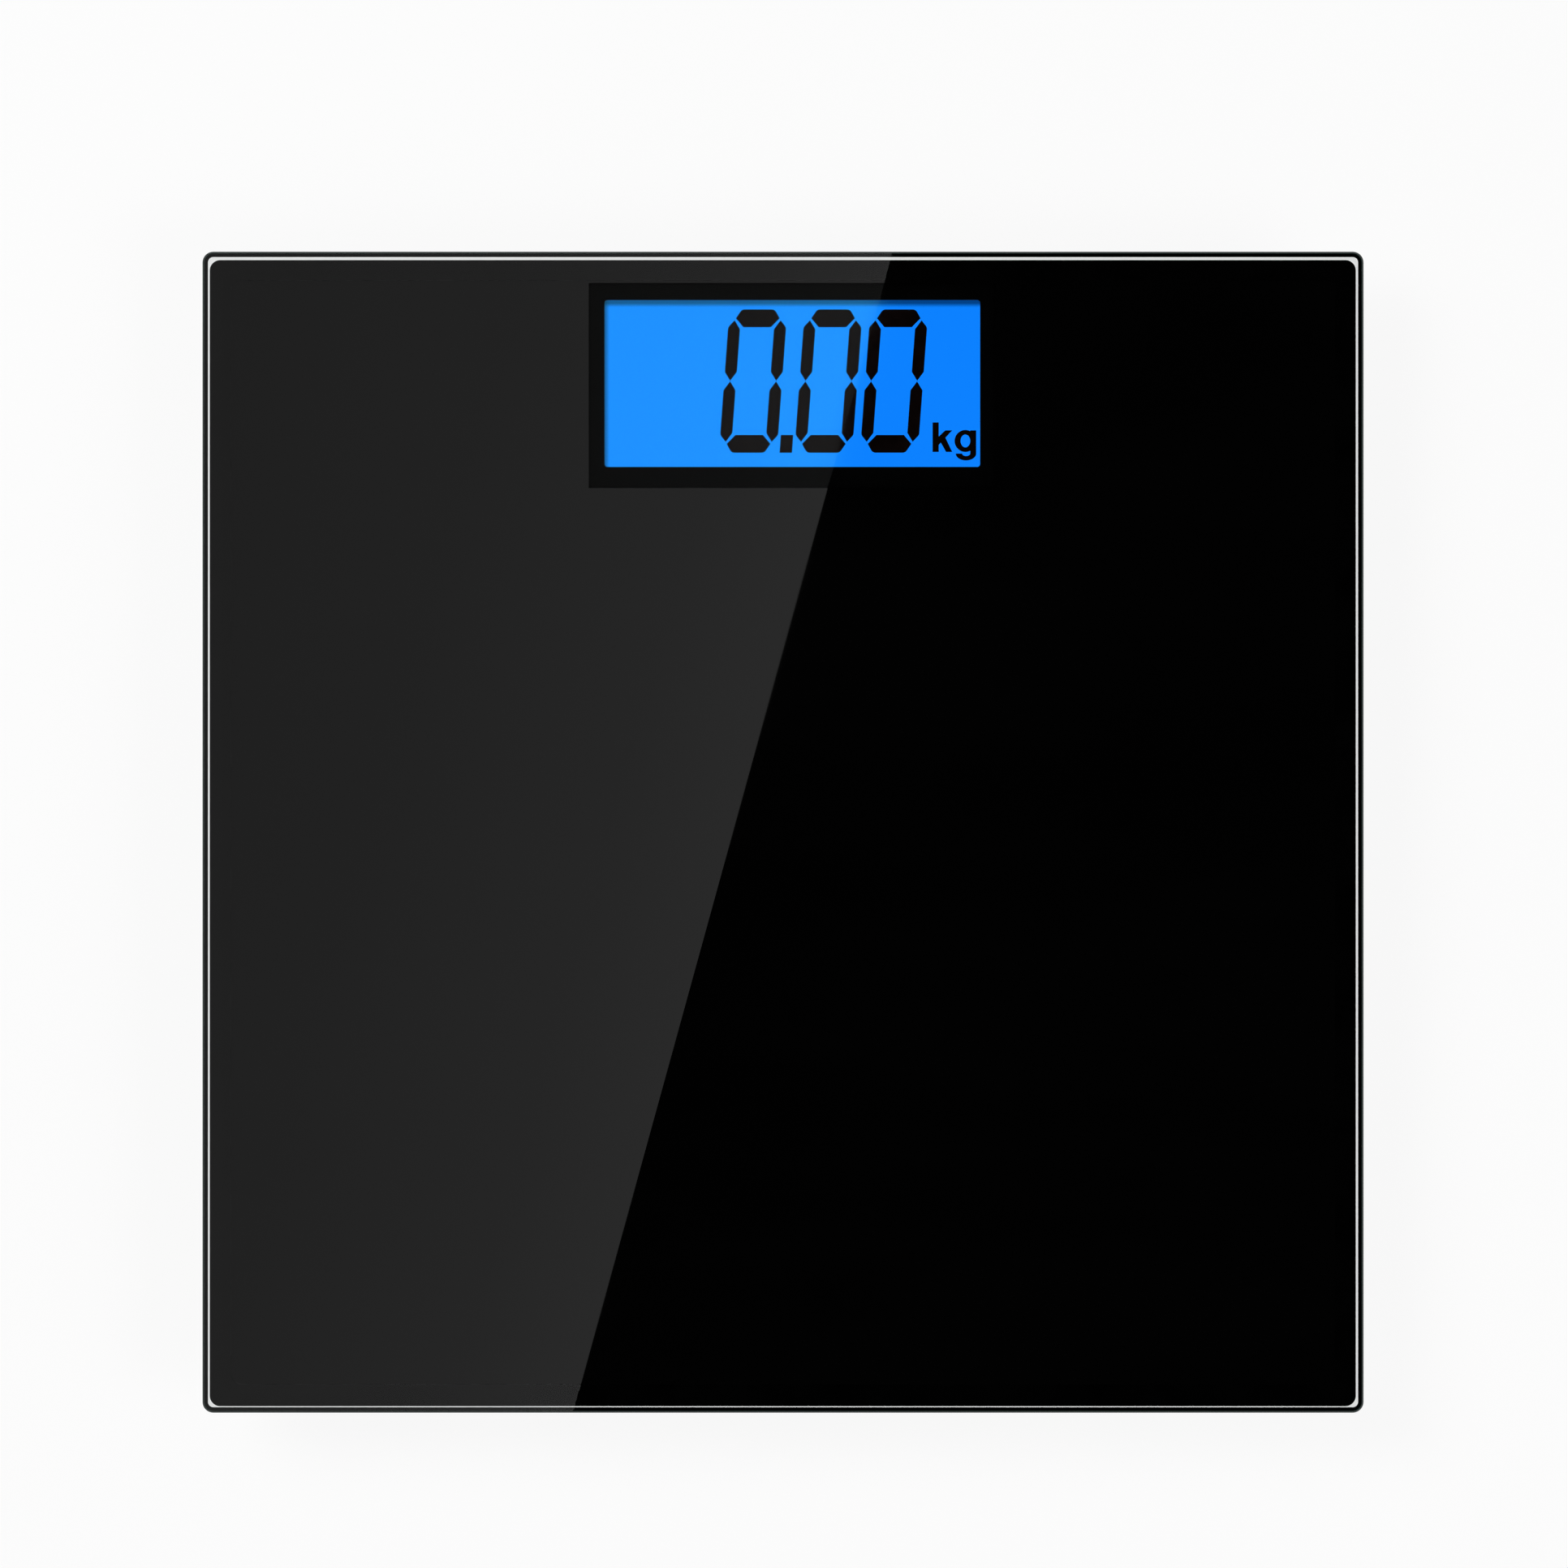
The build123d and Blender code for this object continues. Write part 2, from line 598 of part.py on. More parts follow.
with BuildPart() as case_tape:
    with BuildSketch(Plane.XY.offset(mount_top)):
        with Locations((DISPLAY_X, case_middle)):
            RectangleRounded(case_width - 2 * TAPE_MARGIN, case_depth - 2 * TAPE_MARGIN, CASE_CORNER)
        with Locations((DISPLAY_X, window_back + TAPE_MARGIN)):
            Rectangle(
                window_width + 2 * TAPE_MARGIN,
                window_back - window_front + 2 * TAPE_MARGIN,
                align=(Align.CENTER, Align.MAX),
                mode=Mode.SUBTRACT,
            )
    extrude(amount=TAPE_THICKNESS)
keep(case_tape.part, "case_tape")

# Rear cover, with the way for the battery door, the button hole and the screw holes
with BuildPart() as rear_cover:
    with BuildSketch(Plane.XY.offset(cover_bottom)):
        add(outline)
    extrude(amount=COVER_THICKNESS)
    fillet(rear_cover.edges().group_by(Axis.Z)[0], CASE_EDGE)
    with BuildSketch(Plane.XY.offset(cover_bottom)):
        with Locations((DISPLAY_X, case_front)):
            Rectangle(
                2 * (door_half + DOOR_SIDE_CLEARANCE),
                door_depth + DOOR_SIDE_CLEARANCE,
                align=(Align.CENTER, Align.MIN),
            )
    extrude(amount=COVER_THICKNESS, mode=Mode.SUBTRACT)
    with BuildSketch(Plane.XY.offset(cover_bottom + DOOR_LEDGE)):
        with Locations((DISPLAY_X, case_front)):
            Rectangle(
                2 * (door_half + DOOR_TONGUE + DOOR_SIDE_CLEARANCE),
                door_depth + DOOR_TONGUE + DOOR_SIDE_CLEARANCE,
                align=(Align.CENTER, Align.MIN),
            )
    extrude(amount=COVER_THICKNESS - DOOR_LEDGE, mode=Mode.SUBTRACT)
    with BuildSketch(Plane.XY.offset(cover_bottom)):
        with Locations((key_x, key_y)):
            Circle(DISH_DIAMETER / 2)
    extrude(amount=DISH_DEPTH, mode=Mode.SUBTRACT)
    with BuildSketch(Plane.XY.offset(cover_bottom)):
        with Locations((key_x, key_y)):
            Circle(KEY_DIAMETER / 2 + KEY_CLEARANCE)
        with Locations(*boss_spots):
            Circle(COVER_SCREW_DIAMETER / 2 + SCREW_CLEARANCE)
    extrude(amount=COVER_THICKNESS, mode=Mode.SUBTRACT)
    with BuildSketch(Plane.XY.offset(cover_bottom)):
        with Locations(*boss_spots):
            Circle(COVER_HEAD_DIAMETER / 2 + COVER_HEAD_CLEARANCE)
    extrude(amount=cover_seat - cover_bottom, mode=Mode.SUBTRACT)
keep(rear_cover.part, "rear_cover")

# Battery door: a plate whose tongues run above the cover's ledge, with grip bars below
with BuildPart() as battery_door:
    with BuildSketch(Plane.XY.offset(cover_bottom)):
        with Locations((DISPLAY_X, case_front)):
            Rectangle(2 * door_half, door_depth, align=(Align.CENTER, Align.MIN))
    extrude(amount=COVER_THICKNESS - DOOR_CLEARANCE)
    with BuildSketch(Plane.XY.offset(cover_bottom + DOOR_LEDGE + DOOR_CLEARANCE)):
        with Locations((DISPLAY_X, case_front)):
            Rectangle(
                2 * (door_half + DOOR_TONGUE),
                door_depth + DOOR_TONGUE,
                align=(Align.CENTER, Align.MIN),
            )
    extrude(amount=COVER_THICKNESS - DOOR_LEDGE - 2 * DOOR_CLEARANCE)
    front_edge = battery_door.edges().group_by(Axis.Z)[0].sort_by(Axis.Y)[0]
    fillet(front_edge, CASE_EDGE)
    with BuildSketch(Plane.XY.offset(cover_bottom - GRIP_HEIGHT)):
        for index in range(GRIP_COUNT):
            with Locations((DISPLAY_X, case_front + GRIP_SETBACK + index * GRIP_PITCH)):
                SlotOverall(GRIP_LENGTH, GRIP_WIDTH)
    extrude(amount=GRIP_HEIGHT)
keep(battery_door.part, "battery_door")


def level_bar(left, right, y, outward):
    """A lying segment between two joints, its ends mitred and its outer side shorter."""
    inner = LEVEL_GAP + LEVEL_MITRE
    outer = LEVEL_GAP + LEVEL_CROWN
    half = outward * LEVEL_STROKE / 2
    crowns = [(left + outer, y + half), (right - outer, y + half)]
    rest = [
        (right - LEVEL_GAP, y),
        (right - inner, y - half),
        (left + inner, y - half),
        (left + LEVEL_GAP, y),
    ]
    return crowns + rest, crowns


def upright_bar(x, joint, waist, outward):
    """A standing segment between a joint and the waist of the zero."""
    rise = copysign(1, waist - joint)
    half = outward * UPRIGHT_STROKE / 2
    crowns = [(x + half, joint + rise * (UPRIGHT_GAP + UPRIGHT_CROWN))]
    rest = [
        (x + half, waist - rise * (WAIST_GAP + UPRIGHT_MITRE)),
        (x, waist - rise * WAIST_GAP),
        (x - half, waist - rise * (WAIST_GAP + UPRIGHT_MITRE)),
        (x - half, joint + rise * (UPRIGHT_GAP + UPRIGHT_MITRE)),
        (x, joint + rise * UPRIGHT_GAP),
    ]
    return crowns + rest, crowns


def slanted(points, left):
    """Lean a segment to the right and stand it on the digits' foot."""
    lean = tan(radians(DIGIT_SLANT))
    return [(left + x + y * lean, DIGITS_FRONT + y) for x, y in points]


def zero_bars():
    """The six segments of a zero, each with the corners that are rounded."""
    left = UPRIGHT_STROKE / 2
    right = DIGIT_WIDTH - UPRIGHT_STROKE / 2
    middle = DIGIT_HEIGHT / 2
    bars = []
    for outward in (-1, 1):
        joint = middle + outward * (DIGIT_HEIGHT - LEVEL_STROKE) / 2
        bars.append(level_bar(left, right, joint, outward))
        bars.append(upright_bar(left, joint, middle, -1))
        bars.append(upright_bar(right, joint, middle, 1))
    return bars


# LCD segments: three zeros, the point after the first, and the unit
unit_left = LIT_WIDTH - UNIT_MARGIN - G_WIDTH - UNIT_GAP - K_WIDTH
third_left = unit_left - UNIT_SPACE - DIGIT_WIDTH
second_left = third_left - DIGIT_SPACE - DIGIT_WIDTH
first_left = second_left - POINT_ROOM - DIGIT_SPACE - DIGIT_WIDTH
point_left = DIGIT_WIDTH + POINT_GAP
unit_front = lit_front + DIGITS_FRONT + UNIT_LIFT
point = [
    (point_left, 0),
    (point_left + POINT_WIDTH, 0),
    (point_left + POINT_WIDTH, LEVEL_STROKE),
    (point_left, LEVEL_STROKE),
]
with BuildPart() as lcd_segments:
    with BuildSketch(Plane((lit_left, lit_front, lcd_top))) as digits:
        rounded = []
        for left in (first_left, second_left, third_left):
            for bar, crowns in zero_bars():
                Polygon(*slanted(bar, left))
                rounded += [Vector(*corner) for corner in slanted(crowns, left)]
        Polygon(*slanted(point, first_left))
        near = WAIST_GAP / 2
        fillet(
            [end for end in digits.vertices() if any((Vector(end) - corner).length < near for corner in rounded)],
            CROWN_ROUND,
        )
    extrude(amount=SEGMENT_THICKNESS)
    # The letter k: a stem and two arms, the lower one let into the upper
    with BuildSketch(Plane((lit_left + unit_left, unit_front, lcd_top))):
        Rectangle(UNIT_STROKE, UNIT_HEIGHT, align=(Align.MIN, Align.MIN))
        Polygon(
            (UNIT_STROKE, K_ARM_LOW),
            (K_WIDTH, UNIT_X_HEIGHT),
            (K_WIDTH - K_ARM_WIDTH, UNIT_X_HEIGHT),
            (UNIT_STROKE, K_ARM_HIGH),
        )
        Polygon(K_FORK_RIGHT, K_FORK_LEFT, (K_WIDTH - UNIT_STROKE, 0), (K_WIDTH, 0))
    extrude(amount=SEGMENT_THICKNESS)
    # The letter g: a bowl, its stem and a hooked tail
    g_left = lit_left + unit_left + K_WIDTH + UNIT_GAP
    stem_width = (G_WIDTH - G_COUNTER_WIDTH) / 2
    tail_middle = G_WIDTH - G_TAIL_WIDTH / 2
    hollow_middle = G_WIDTH - stem_width - G_HOLLOW_WIDTH / 2
    with BuildSketch(Plane((g_left, unit_front, lcd_top))):
        with Locations((tail_middle, -G_TAIL_DROP)):
            Ellipse(G_TAIL_WIDTH / 2, G_TAIL_DEPTH)
            Rectangle(G_WIDTH, G_TAIL_DEPTH, align=(Align.CENTER, Align.MIN), mode=Mode.SUBTRACT)
        with Locations((hollow_middle, -G_TAIL_DROP)):
            Ellipse(G_HOLLOW_WIDTH / 2, G_HOLLOW_DEPTH, mode=Mode.SUBTRACT)
        with Locations((G_WIDTH / 2, G_BOWL_HEIGHT / 2)):
            Ellipse(G_WIDTH / 2, G_BOWL_HEIGHT / 2)
            Ellipse(G_COUNTER_WIDTH / 2, G_COUNTER_HEIGHT / 2, mode=Mode.SUBTRACT)
        with Locations((G_WIDTH, UNIT_X_HEIGHT)):
            Rectangle(stem_width, UNIT_X_HEIGHT + G_TAIL_DROP, align=(Align.MAX, Align.MAX))
    extrude(amount=SEGMENT_THICKNESS)
keep(lcd_segments.part, "lcd_segments")

# LCD panel: two glass sheets, the rear one with a contact ledge at the front
with BuildPart() as lcd_panel:
    with BuildSketch(Plane.XY.offset(lcd_bottom)):
        with Locations((DISPLAY_X, lcd_back)):
            Rectangle(lcd_width, lcd_back - ledge_front, align=(Align.CENTER, Align.MAX))
    extrude(amount=LCD_SHEET)
    with BuildSketch(Plane.XY.offset(lcd_bottom + LCD_SHEET)):
        with Locations((DISPLAY_X, lcd_back)):
            Rectangle(lcd_width, lcd_back - lcd_front, align=(Align.CENTER, Align.MAX))
    extrude(amount=LCD_SHEET)
keep(lcd_panel.part, "lcd_panel")

# Backlight: a white tray on the board, with the light guide and its side LEDs
tray_left = DISPLAY_X - tray_width / 2 + TRAY_WALL
tray_right = DISPLAY_X + tray_width / 2 - TRAY_WALL
tray_middle = (lcd_front + tray_back) / 2
tray_room = tray_back - lcd_front - 2 * TRAY_WALL
guide_left = tray_left + LED_DEPTH + GUIDE_CLEARANCE
guide_right = tray_right - GUIDE_CLEARANCE
with BuildPart() as backlight_frame:
    with BuildSketch(Plane.XY.offset(board_top)):
        with Locations((DISPLAY_X, tray_middle)):
            Rectangle(tray_width, tray_back - lcd_front)
    extrude(amount=lcd_bottom - board_top)
    with BuildSketch(Plane.XY.offset(board_top + TRAY_FLOOR)):
        with Locations((DISPLAY_X, tray_middle)):
            Rectangle(tray_right - tray_left, tray_room)
    extrude(amount=GUIDE_THICKNESS, mode=Mode.SUBTRACT)
keep(backlight_frame.part, "backlight_frame")

with BuildPart() as light_guide:
    with BuildSketch(Plane.XY.offset(board_top + TRAY_FLOOR)):
        with Locations(((guide_left + guide_right) / 2, tray_middle)):
            Rectangle(guide_right - guide_left, tray_room - 2 * GUIDE_CLEARANCE)
    extrude(amount=GUIDE_THICKNESS)
keep(light_guide.part, "light_guide")

with BuildPart() as backlight_leds:
    with BuildSketch(Plane.XY.offset(board_top + TRAY_FLOOR)):
        with Locations((tray_left, tray_middle)):
            with GridLocations(0, LED_PITCH, 1, LED_COUNT):
                Rectangle(LED_DEPTH, LED_LENGTH, align=(Align.MIN, Align.CENTER))
    extrude(amount=LED_HEIGHT)
keep(backlight_leds.part, "backlight_leds")

with BuildPart() as connector_strip:
    with BuildSketch(Plane.XY.offset(board_top)):
        with Locations((DISPLAY_X, strip_middle)):
            Rectangle(lcd_width - 2 * STRIP_INSET, STRIP_WIDTH)
    extrude(amount=lcd_bottom - board_top)
keep(connector_strip.part, "connector_strip")

# Circuit board and the parts on its underside
with BuildPart() as circuit_board:
    with BuildSketch(Plane.XY.offset(board_bottom)):
        with Locations((DISPLAY_X, board_middle)):
            Rectangle(board_width, board_back - board_front)
        with Locations(*post_spots):
            Circle(BOARD_SCREW_DIAMETER / 2 + SCREW_CLEARANCE, mode=Mode.SUBTRACT)
    extrude(amount=BOARD_THICKNESS)
keep(circuit_board.part, "circuit_board")

with BuildPart() as bonded_chip:
    with BuildSketch(Plane.XY.offset(board_bottom - CHIP_HEIGHT)):
        with Locations((DISPLAY_X, board_middle)):
            Circle(CHIP_DIAMETER / 2)
    extrude(amount=CHIP_HEIGHT)
    fillet(bonded_chip.edges().group_by(Axis.Z)[0], CHIP_EDGE)
keep(bonded_chip.part, "bonded_chip")

with BuildPart() as crystal_can:
    with BuildSketch(Plane.XY.offset(board_bottom - CRYSTAL_HEIGHT)):
        with Locations((DISPLAY_X + CRYSTAL_X, board_middle)):
            SlotOverall(CRYSTAL_LENGTH, CRYSTAL_WIDTH)
    extrude(amount=CRYSTAL_HEIGHT)
keep(crystal_can.part, "crystal_can")

with BuildPart() as board_components:
    with BuildSketch(Plane.XY.offset(board_bottom - SMALL_HEIGHT)):
        with Locations((DISPLAY_X - board_width / 2 + SMALL_SETBACK, board_middle)):
            with GridLocations(SMALL_PITCH_X, SMALL_PITCH_Y, SMALL_COLUMNS, SMALL_ROWS):
                Rectangle(SMALL_LENGTH, SMALL_WIDTH)
    extrude(amount=SMALL_HEIGHT)
keep(board_components.part, "board_components")

# Unit switch: a body on the board, a plunger that slides in it and the button that pushes it
switch_bottom = board_bottom - SWITCH_HEIGHT
plunger_bottom = switch_bottom - PLUNGER_LENGTH
with BuildPart() as switch_body:
    with BuildSketch(Plane.XY.offset(switch_bottom)):
        with Locations((key_x, key_y)):
            Rectangle(SWITCH_SIDE, SWITCH_SIDE)
    extrude(amount=SWITCH_HEIGHT)
    with BuildSketch(Plane.XY.offset(switch_bottom)):
        with Locations((key_x, key_y)):
            Circle(PLUNGER_DIAMETER / 2 + PLUNGER_CLEARANCE)
    extrude(amount=PLUNGER_SUNK + KEY_TRAVEL + PLUNGER_CLEARANCE, mode=Mode.SUBTRACT)
keep(switch_body.part, "switch_body")

with BuildPart() as switch_plunger:
    with BuildSketch(Plane.XY.offset(plunger_bottom)):
        with Locations((key_x, key_y)):
            Circle(PLUNGER_DIAMETER / 2)
    extrude(amount=PLUNGER_LENGTH + PLUNGER_SUNK)
keep(switch_plunger.part, "switch_plunger")

with BuildPart() as unit_button:
    with BuildSketch(Plane.XY.offset(cover_bottom + KEY_SUNK)):
        with Locations((key_x, key_y)):
            Circle(KEY_DIAMETER / 2)
    extrude(amount=COVER_THICKNESS - KEY_SUNK)
    fillet(unit_button.edges().group_by(Axis.Z)[0], KEY_EDGE)
    with BuildSketch(Plane.XY.offset(cover_top)):
        with Locations((key_x, key_y)):
            Circle(KEY_DIAMETER / 2 + KEY_FLANGE_REACH)
    extrude(amount=KEY_FLANGE)
    with BuildSketch(Plane.XY.offset(cover_top + KEY_FLANGE)):
        with Locations((key_x, key_y)):
            Circle(PLUNGER_DIAMETER / 2)
    extrude(amount=plunger_bottom - cover_top - KEY_FLANGE)
keep(unit_button.part, "unit_button")


def screws(spots, seat, diameter, length, head_diameter, head_height):
    """A set of cross-head screws that point up, their heads under the seat."""
    with BuildPart() as group:
        with BuildSketch(Plane.XY.offset(seat - head_height)):
            with Locations(*spots):
                Circle(head_diameter / 2)
        extrude(amount=head_height)
        with BuildSketch(Plane.XY.offset(seat)):
            with Locations(*spots):
                Circle(diameter / 2)
        extrude(amount=length)
        with BuildSketch(Plane.XY.offset(seat - head_height)):
            with Locations(*spots):
                Rectangle(CROSS_LENGTH, CROSS_WIDTH)
                Rectangle(CROSS_WIDTH, CROSS_LENGTH)
        extrude(amount=CROSS_DEPTH, mode=Mode.SUBTRACT)
    return group.part


cover_screws = screws(
    boss_spots,
    cover_seat,
    COVER_SCREW_DIAMETER,
    COVER_SCREW_LENGTH,
    COVER_HEAD_DIAMETER,
    COVER_HEAD_HEIGHT,
)
keep(cover_screws, "cover_screws")
board_screws = screws(
    post_spots,
    board_bottom,
    BOARD_SCREW_DIAMETER,
    BOARD_SCREW_LENGTH,
    BOARD_HEAD_DIAMETER,
    BOARD_HEAD_HEIGHT,
)
keep(board_screws, "board_screws")


def battery(start):
    """One cell lying along X, with its nub to the right."""
    body_length = BATTERY_LENGTH - BATTERY_NUB_LENGTH
    with BuildPart() as cell:
        with BuildSketch(Plane.YZ.offset(start)):
            with Locations((bay_middle, battery_z)):
                Circle(BATTERY_DIAMETER / 2)
        extrude(amount=body_length)
        fillet(cell.edges().filter_by(GeomType.CIRCLE), BATTERY_EDGE)
        with BuildSketch(Plane.YZ.offset(start + body_length)):
            with Locations((bay_middle, battery_z)):
                Circle(BATTERY_NUB_DIAMETER / 2)
        extrude(amount=BATTERY_NUB_LENGTH)
    return cell.part


bay_left = DISPLAY_X - bay_length / 2
bay_right = DISPLAY_X + bay_length / 2
keep(battery(bay_left + CONTACT_REACH), "battery_left")
keep(battery(bay_left + CONTACT_REACH + BATTERY_LENGTH), "battery_right")

# Battery contacts: flat sheets with a tab through the end wall, the left one with a sprung bow
tab_length = PARTITION + TAB_REACH
tab_low = lead_board_z - TAB_HEIGHT / 2
with BuildPart() as contact_plate:
    with BuildSketch(Plane.XY.offset(battery_z - CONTACT_HEIGHT / 2)):
        with Locations((bay_right, bay_middle)):
            Rectangle(CONTACT_SHEET, CONTACT_WIDTH, align=(Align.MAX, Align.CENTER))
    extrude(amount=CONTACT_HEIGHT)
    with BuildSketch(Plane.XY.offset(tab_low)):
        with Locations((bay_right, bay_middle)):
            Rectangle(tab_length, CONTACT_SHEET, align=(Align.MIN, Align.CENTER))
    extrude(amount=TAB_HEIGHT)
keep(contact_plate.part, "contact_plate")

half_height = CONTACT_HEIGHT / 2
bow_tip = CONTACT_REACH - CONTACT_GAP
with BuildPart() as contact_spring:
    with BuildSketch(Plane.XY.offset(battery_z - half_height)):
        with Locations((bay_left, bay_middle)):
            Rectangle(CONTACT_SHEET, CONTACT_WIDTH, align=(Align.MIN, Align.CENTER))
    extrude(amount=CONTACT_HEIGHT)
    with BuildSketch(Plane.XY.offset(tab_low)):
        with Locations((bay_left, bay_middle)):
            Rectangle(tab_length, CONTACT_SHEET, align=(Align.MAX, Align.CENTER))
    extrude(amount=TAB_HEIGHT)
    with BuildSketch(Plane((bay_left, bay_middle, battery_z), x_dir=(1, 0, 0), z_dir=(0, -1, 0))):
        with BuildLine():
            inner_height = half_height - 2 * CONTACT_SHEET
            ThreePointArc((CONTACT_SHEET, -half_height), (bow_tip, 0), (CONTACT_SHEET, half_height))
            Line((CONTACT_SHEET, half_height), (CONTACT_SHEET, inner_height))
            ThreePointArc(
                (CONTACT_SHEET, inner_height),
                (bow_tip - CONTACT_SHEET, 0),
                (CONTACT_SHEET, -inner_height),
            )
            Line((CONTACT_SHEET, -inner_height), (CONTACT_SHEET, -half_height))
        make_face()
    extrude(amount=CONTACT_WIDTH / 2, both=True)
keep(contact_spring.part, "contact_spring")


def front_route(side):
    """The middle lead of a front foot: up to the glass, aslant, and down into the case."""
    foot_x = side * foot_place
    case_x = DISPLAY_X + side * entry_x
    out_y = mount_radius + LEAD_STUB - foot_place
    near_y = case_front - LEAD_STUB
    down_y = near_y - LEAD_CLIMB
    turn_y = down_y - LEAD_APPROACH
    return [
        Vector(foot_x, sealant_end - foot_place, lead_cell_z),
        Vector(foot_x, out_y, lead_cell_z),
        Vector(foot_x, out_y + LEAD_CLIMB, lead_glass_z),
        Vector(foot_x, turn_y - abs(foot_x - case_x), lead_glass_z),
        Vector(case_x, turn_y, lead_glass_z),
        Vector(case_x, down_y, lead_glass_z),
        Vector(case_x, near_y, lead_board_z),
        Vector(case_x, front_pad_y, lead_board_z),
    ]


def back_route(side):
    """The middle lead of a back foot: straight into the side of the case."""
    return [
        Vector(side * (foot_place - sealant_end), foot_place, lead_cell_z),
        Vector(DISPLAY_X + side * back_pad_x, foot_place, lead_board_z),
    ]


def plan_direction(start, end):
    """The level direction from one point to another."""
    return Vector(end.X - start.X, end.Y - start.Y, 0).normalized()


def beside(route, shift):
    """The route moved sideways, with its runs still parallel to the first one's."""
    last = len(route) - 1
    moved = []
    for index, point in enumerate(route):
        first = max(index - 1, 0)
        before = plan_direction(route[first], route[first + 1])
        second = min(index, last - 1)
        after = plan_direction(route[second], route[second + 1])
        mitre = (before + after) * (shift / (1 + before.dot(after)))
        moved.append(point + Vector(-mitre.Y, mitre.X, 0))
    return moved


def bend_radii(route):
    """The largest bends that leave a straight stretch in every run."""
    radii = []
    for before, point, after in zip(route, route[1:], route[2:]):
        turn = (point - before).get_angle(after - point)
        shorter = min((point - before).length, (after - point).length)
        radii.append(LEAD_BEND_SHARE * shorter / tan(radians(turn) / 2))
    return radii


def lead(route):
    """One round lead along a route."""
    with BuildPart() as tube:
        with BuildLine() as path:
            if len(route) == 2:
                Line(*route)
            else:
                FilletPolyline(*route, radius=bend_radii(route))
        with BuildSketch(path.line ^ 0):
            Circle(lead_radius)
        sweep()
    return tube.part


def solder_joint(route):
    """The blob on the board at the far end of a lead."""
    way = plan_direction(route[-2], route[-1])
    with BuildPart() as joint:
        with BuildSketch(Plane((route[-1].X, route[-1].Y, board_top), x_dir=way)):
            Rectangle(JOINT_LENGTH, JOINT_WIDTH, align=(Align.MIN, Align.CENTER))
        extrude(amount=lead_board_z + JOINT_TOP - board_top)
    return joint.part


# Load cell leads: three to a foot, side by side
routes = [front_route(-1), front_route(1), back_route(-1), back_route(1)]
print("lead bends:", [round(radius, 1) for radius in bend_radii(routes[0])])
lead_shifts = {"leads_red": LEAD_PITCH, "leads_black": 0.0, "leads_white": -LEAD_PITCH}
joints = []
for name, shift in lead_shifts.items():
    moved_routes = [beside(route, shift) for route in routes]
    tubes = [lead(route) for route in moved_routes]
    joints += [solder_joint(route) for route in moved_routes]
    with BuildPart() as leads:
        add(tubes)
    keep(leads.part, name)

# Battery leads: from the contacts' tabs straight to the board
for side, name in ((-1, "battery_lead_black"), (1, "battery_lead_red")):
    battery_route = [
        Vector(DISPLAY_X + side * battery_lead_x, bay_middle + CONTACT_SHEET / 2, lead_board_z),
        Vector(DISPLAY_X + side * battery_lead_x, front_pad_y, lead_board_z),
    ]
    joints.append(solder_joint(battery_route))
    keep(lead(battery_route), name)

with BuildPart() as solder_joints:
    add(joints)
keep(solder_joints.part, "solder_joints")


def lead_clip(plane):
    """A saddle stuck to the print, with the three leads along its X axis."""
    slot = 2 * LEAD_PITCH + LEAD_DIAMETER + 2 * CLIP_CLEARANCE
    slot_depth = LEAD_GLASS_GAP + LEAD_DIAMETER + CLIP_CLEARANCE
    height = slot_depth + CLIP_WEB
    with BuildPart() as clip:
        with BuildSketch(plane.offset(-height)):
            Rectangle(CLIP_LENGTH, slot + 2 * CLIP_FLANGE)
        extrude(amount=height)
        fillet(clip.edges().group_by(Axis.Z)[0], CLIP_EDGE)
        with BuildSketch(plane.offset(-slot_depth)):
            Rectangle(CLIP_LENGTH, slot)
        extrude(amount=slot_depth, mode=Mode.SUBTRACT)
    return clip.part


# Lead clips: one on the side run and one on the slanting run of each front foot's leads
clips = []
for route in routes[:2]:
    side_way = plan_direction(route[2], route[3])
    slant_way = plan_direction(route[3], route[4])
    side_spot = route[2] + side_way * CLIP_SETBACK
    slant_spot = route[3] + (route[4] - route[3]) * CLIP_SHARE
    for spot, way in ((side_spot, side_way), (slant_spot, slant_way)):
        clips.append(lead_clip(Plane((spot.X, spot.Y, print_bottom), x_dir=way)))
with BuildPart() as lead_clips:
    add(clips)
keep(lead_clips.part, "lead_clips")
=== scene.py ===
# %% [markdown]
# # A glass bathroom scale, dressed in Blender
# The scale was drawn as solids in CAD and packed. This lesson loads those solids as a frame that
# never moves and gives each of them the surface of the real thing. Everything is in metres, in
# the frame of the CAD model: the floor is at zero, +Z is up and +Y points to the display.

# %% Load the frame
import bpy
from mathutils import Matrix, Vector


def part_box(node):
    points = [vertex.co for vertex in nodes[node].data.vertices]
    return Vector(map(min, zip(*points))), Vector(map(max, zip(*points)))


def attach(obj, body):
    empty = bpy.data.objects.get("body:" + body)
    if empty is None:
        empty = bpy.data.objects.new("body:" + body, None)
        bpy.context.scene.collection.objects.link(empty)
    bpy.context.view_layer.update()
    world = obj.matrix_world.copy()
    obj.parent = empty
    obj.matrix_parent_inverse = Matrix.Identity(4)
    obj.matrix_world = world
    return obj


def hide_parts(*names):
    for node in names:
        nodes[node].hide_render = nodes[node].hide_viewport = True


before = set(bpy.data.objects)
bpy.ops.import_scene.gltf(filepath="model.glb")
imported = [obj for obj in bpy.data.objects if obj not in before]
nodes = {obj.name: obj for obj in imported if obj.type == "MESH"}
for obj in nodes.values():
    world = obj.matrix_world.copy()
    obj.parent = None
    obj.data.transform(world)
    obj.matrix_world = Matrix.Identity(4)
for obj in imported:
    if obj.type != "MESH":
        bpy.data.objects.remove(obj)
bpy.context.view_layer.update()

# %% Tools and units
from math import cos, radians, sin

import bmesh
import bpy
from mathutils import Vector

MM = 0.001
scene = bpy.context.scene
scene.view_settings.view_transform = "Standard"


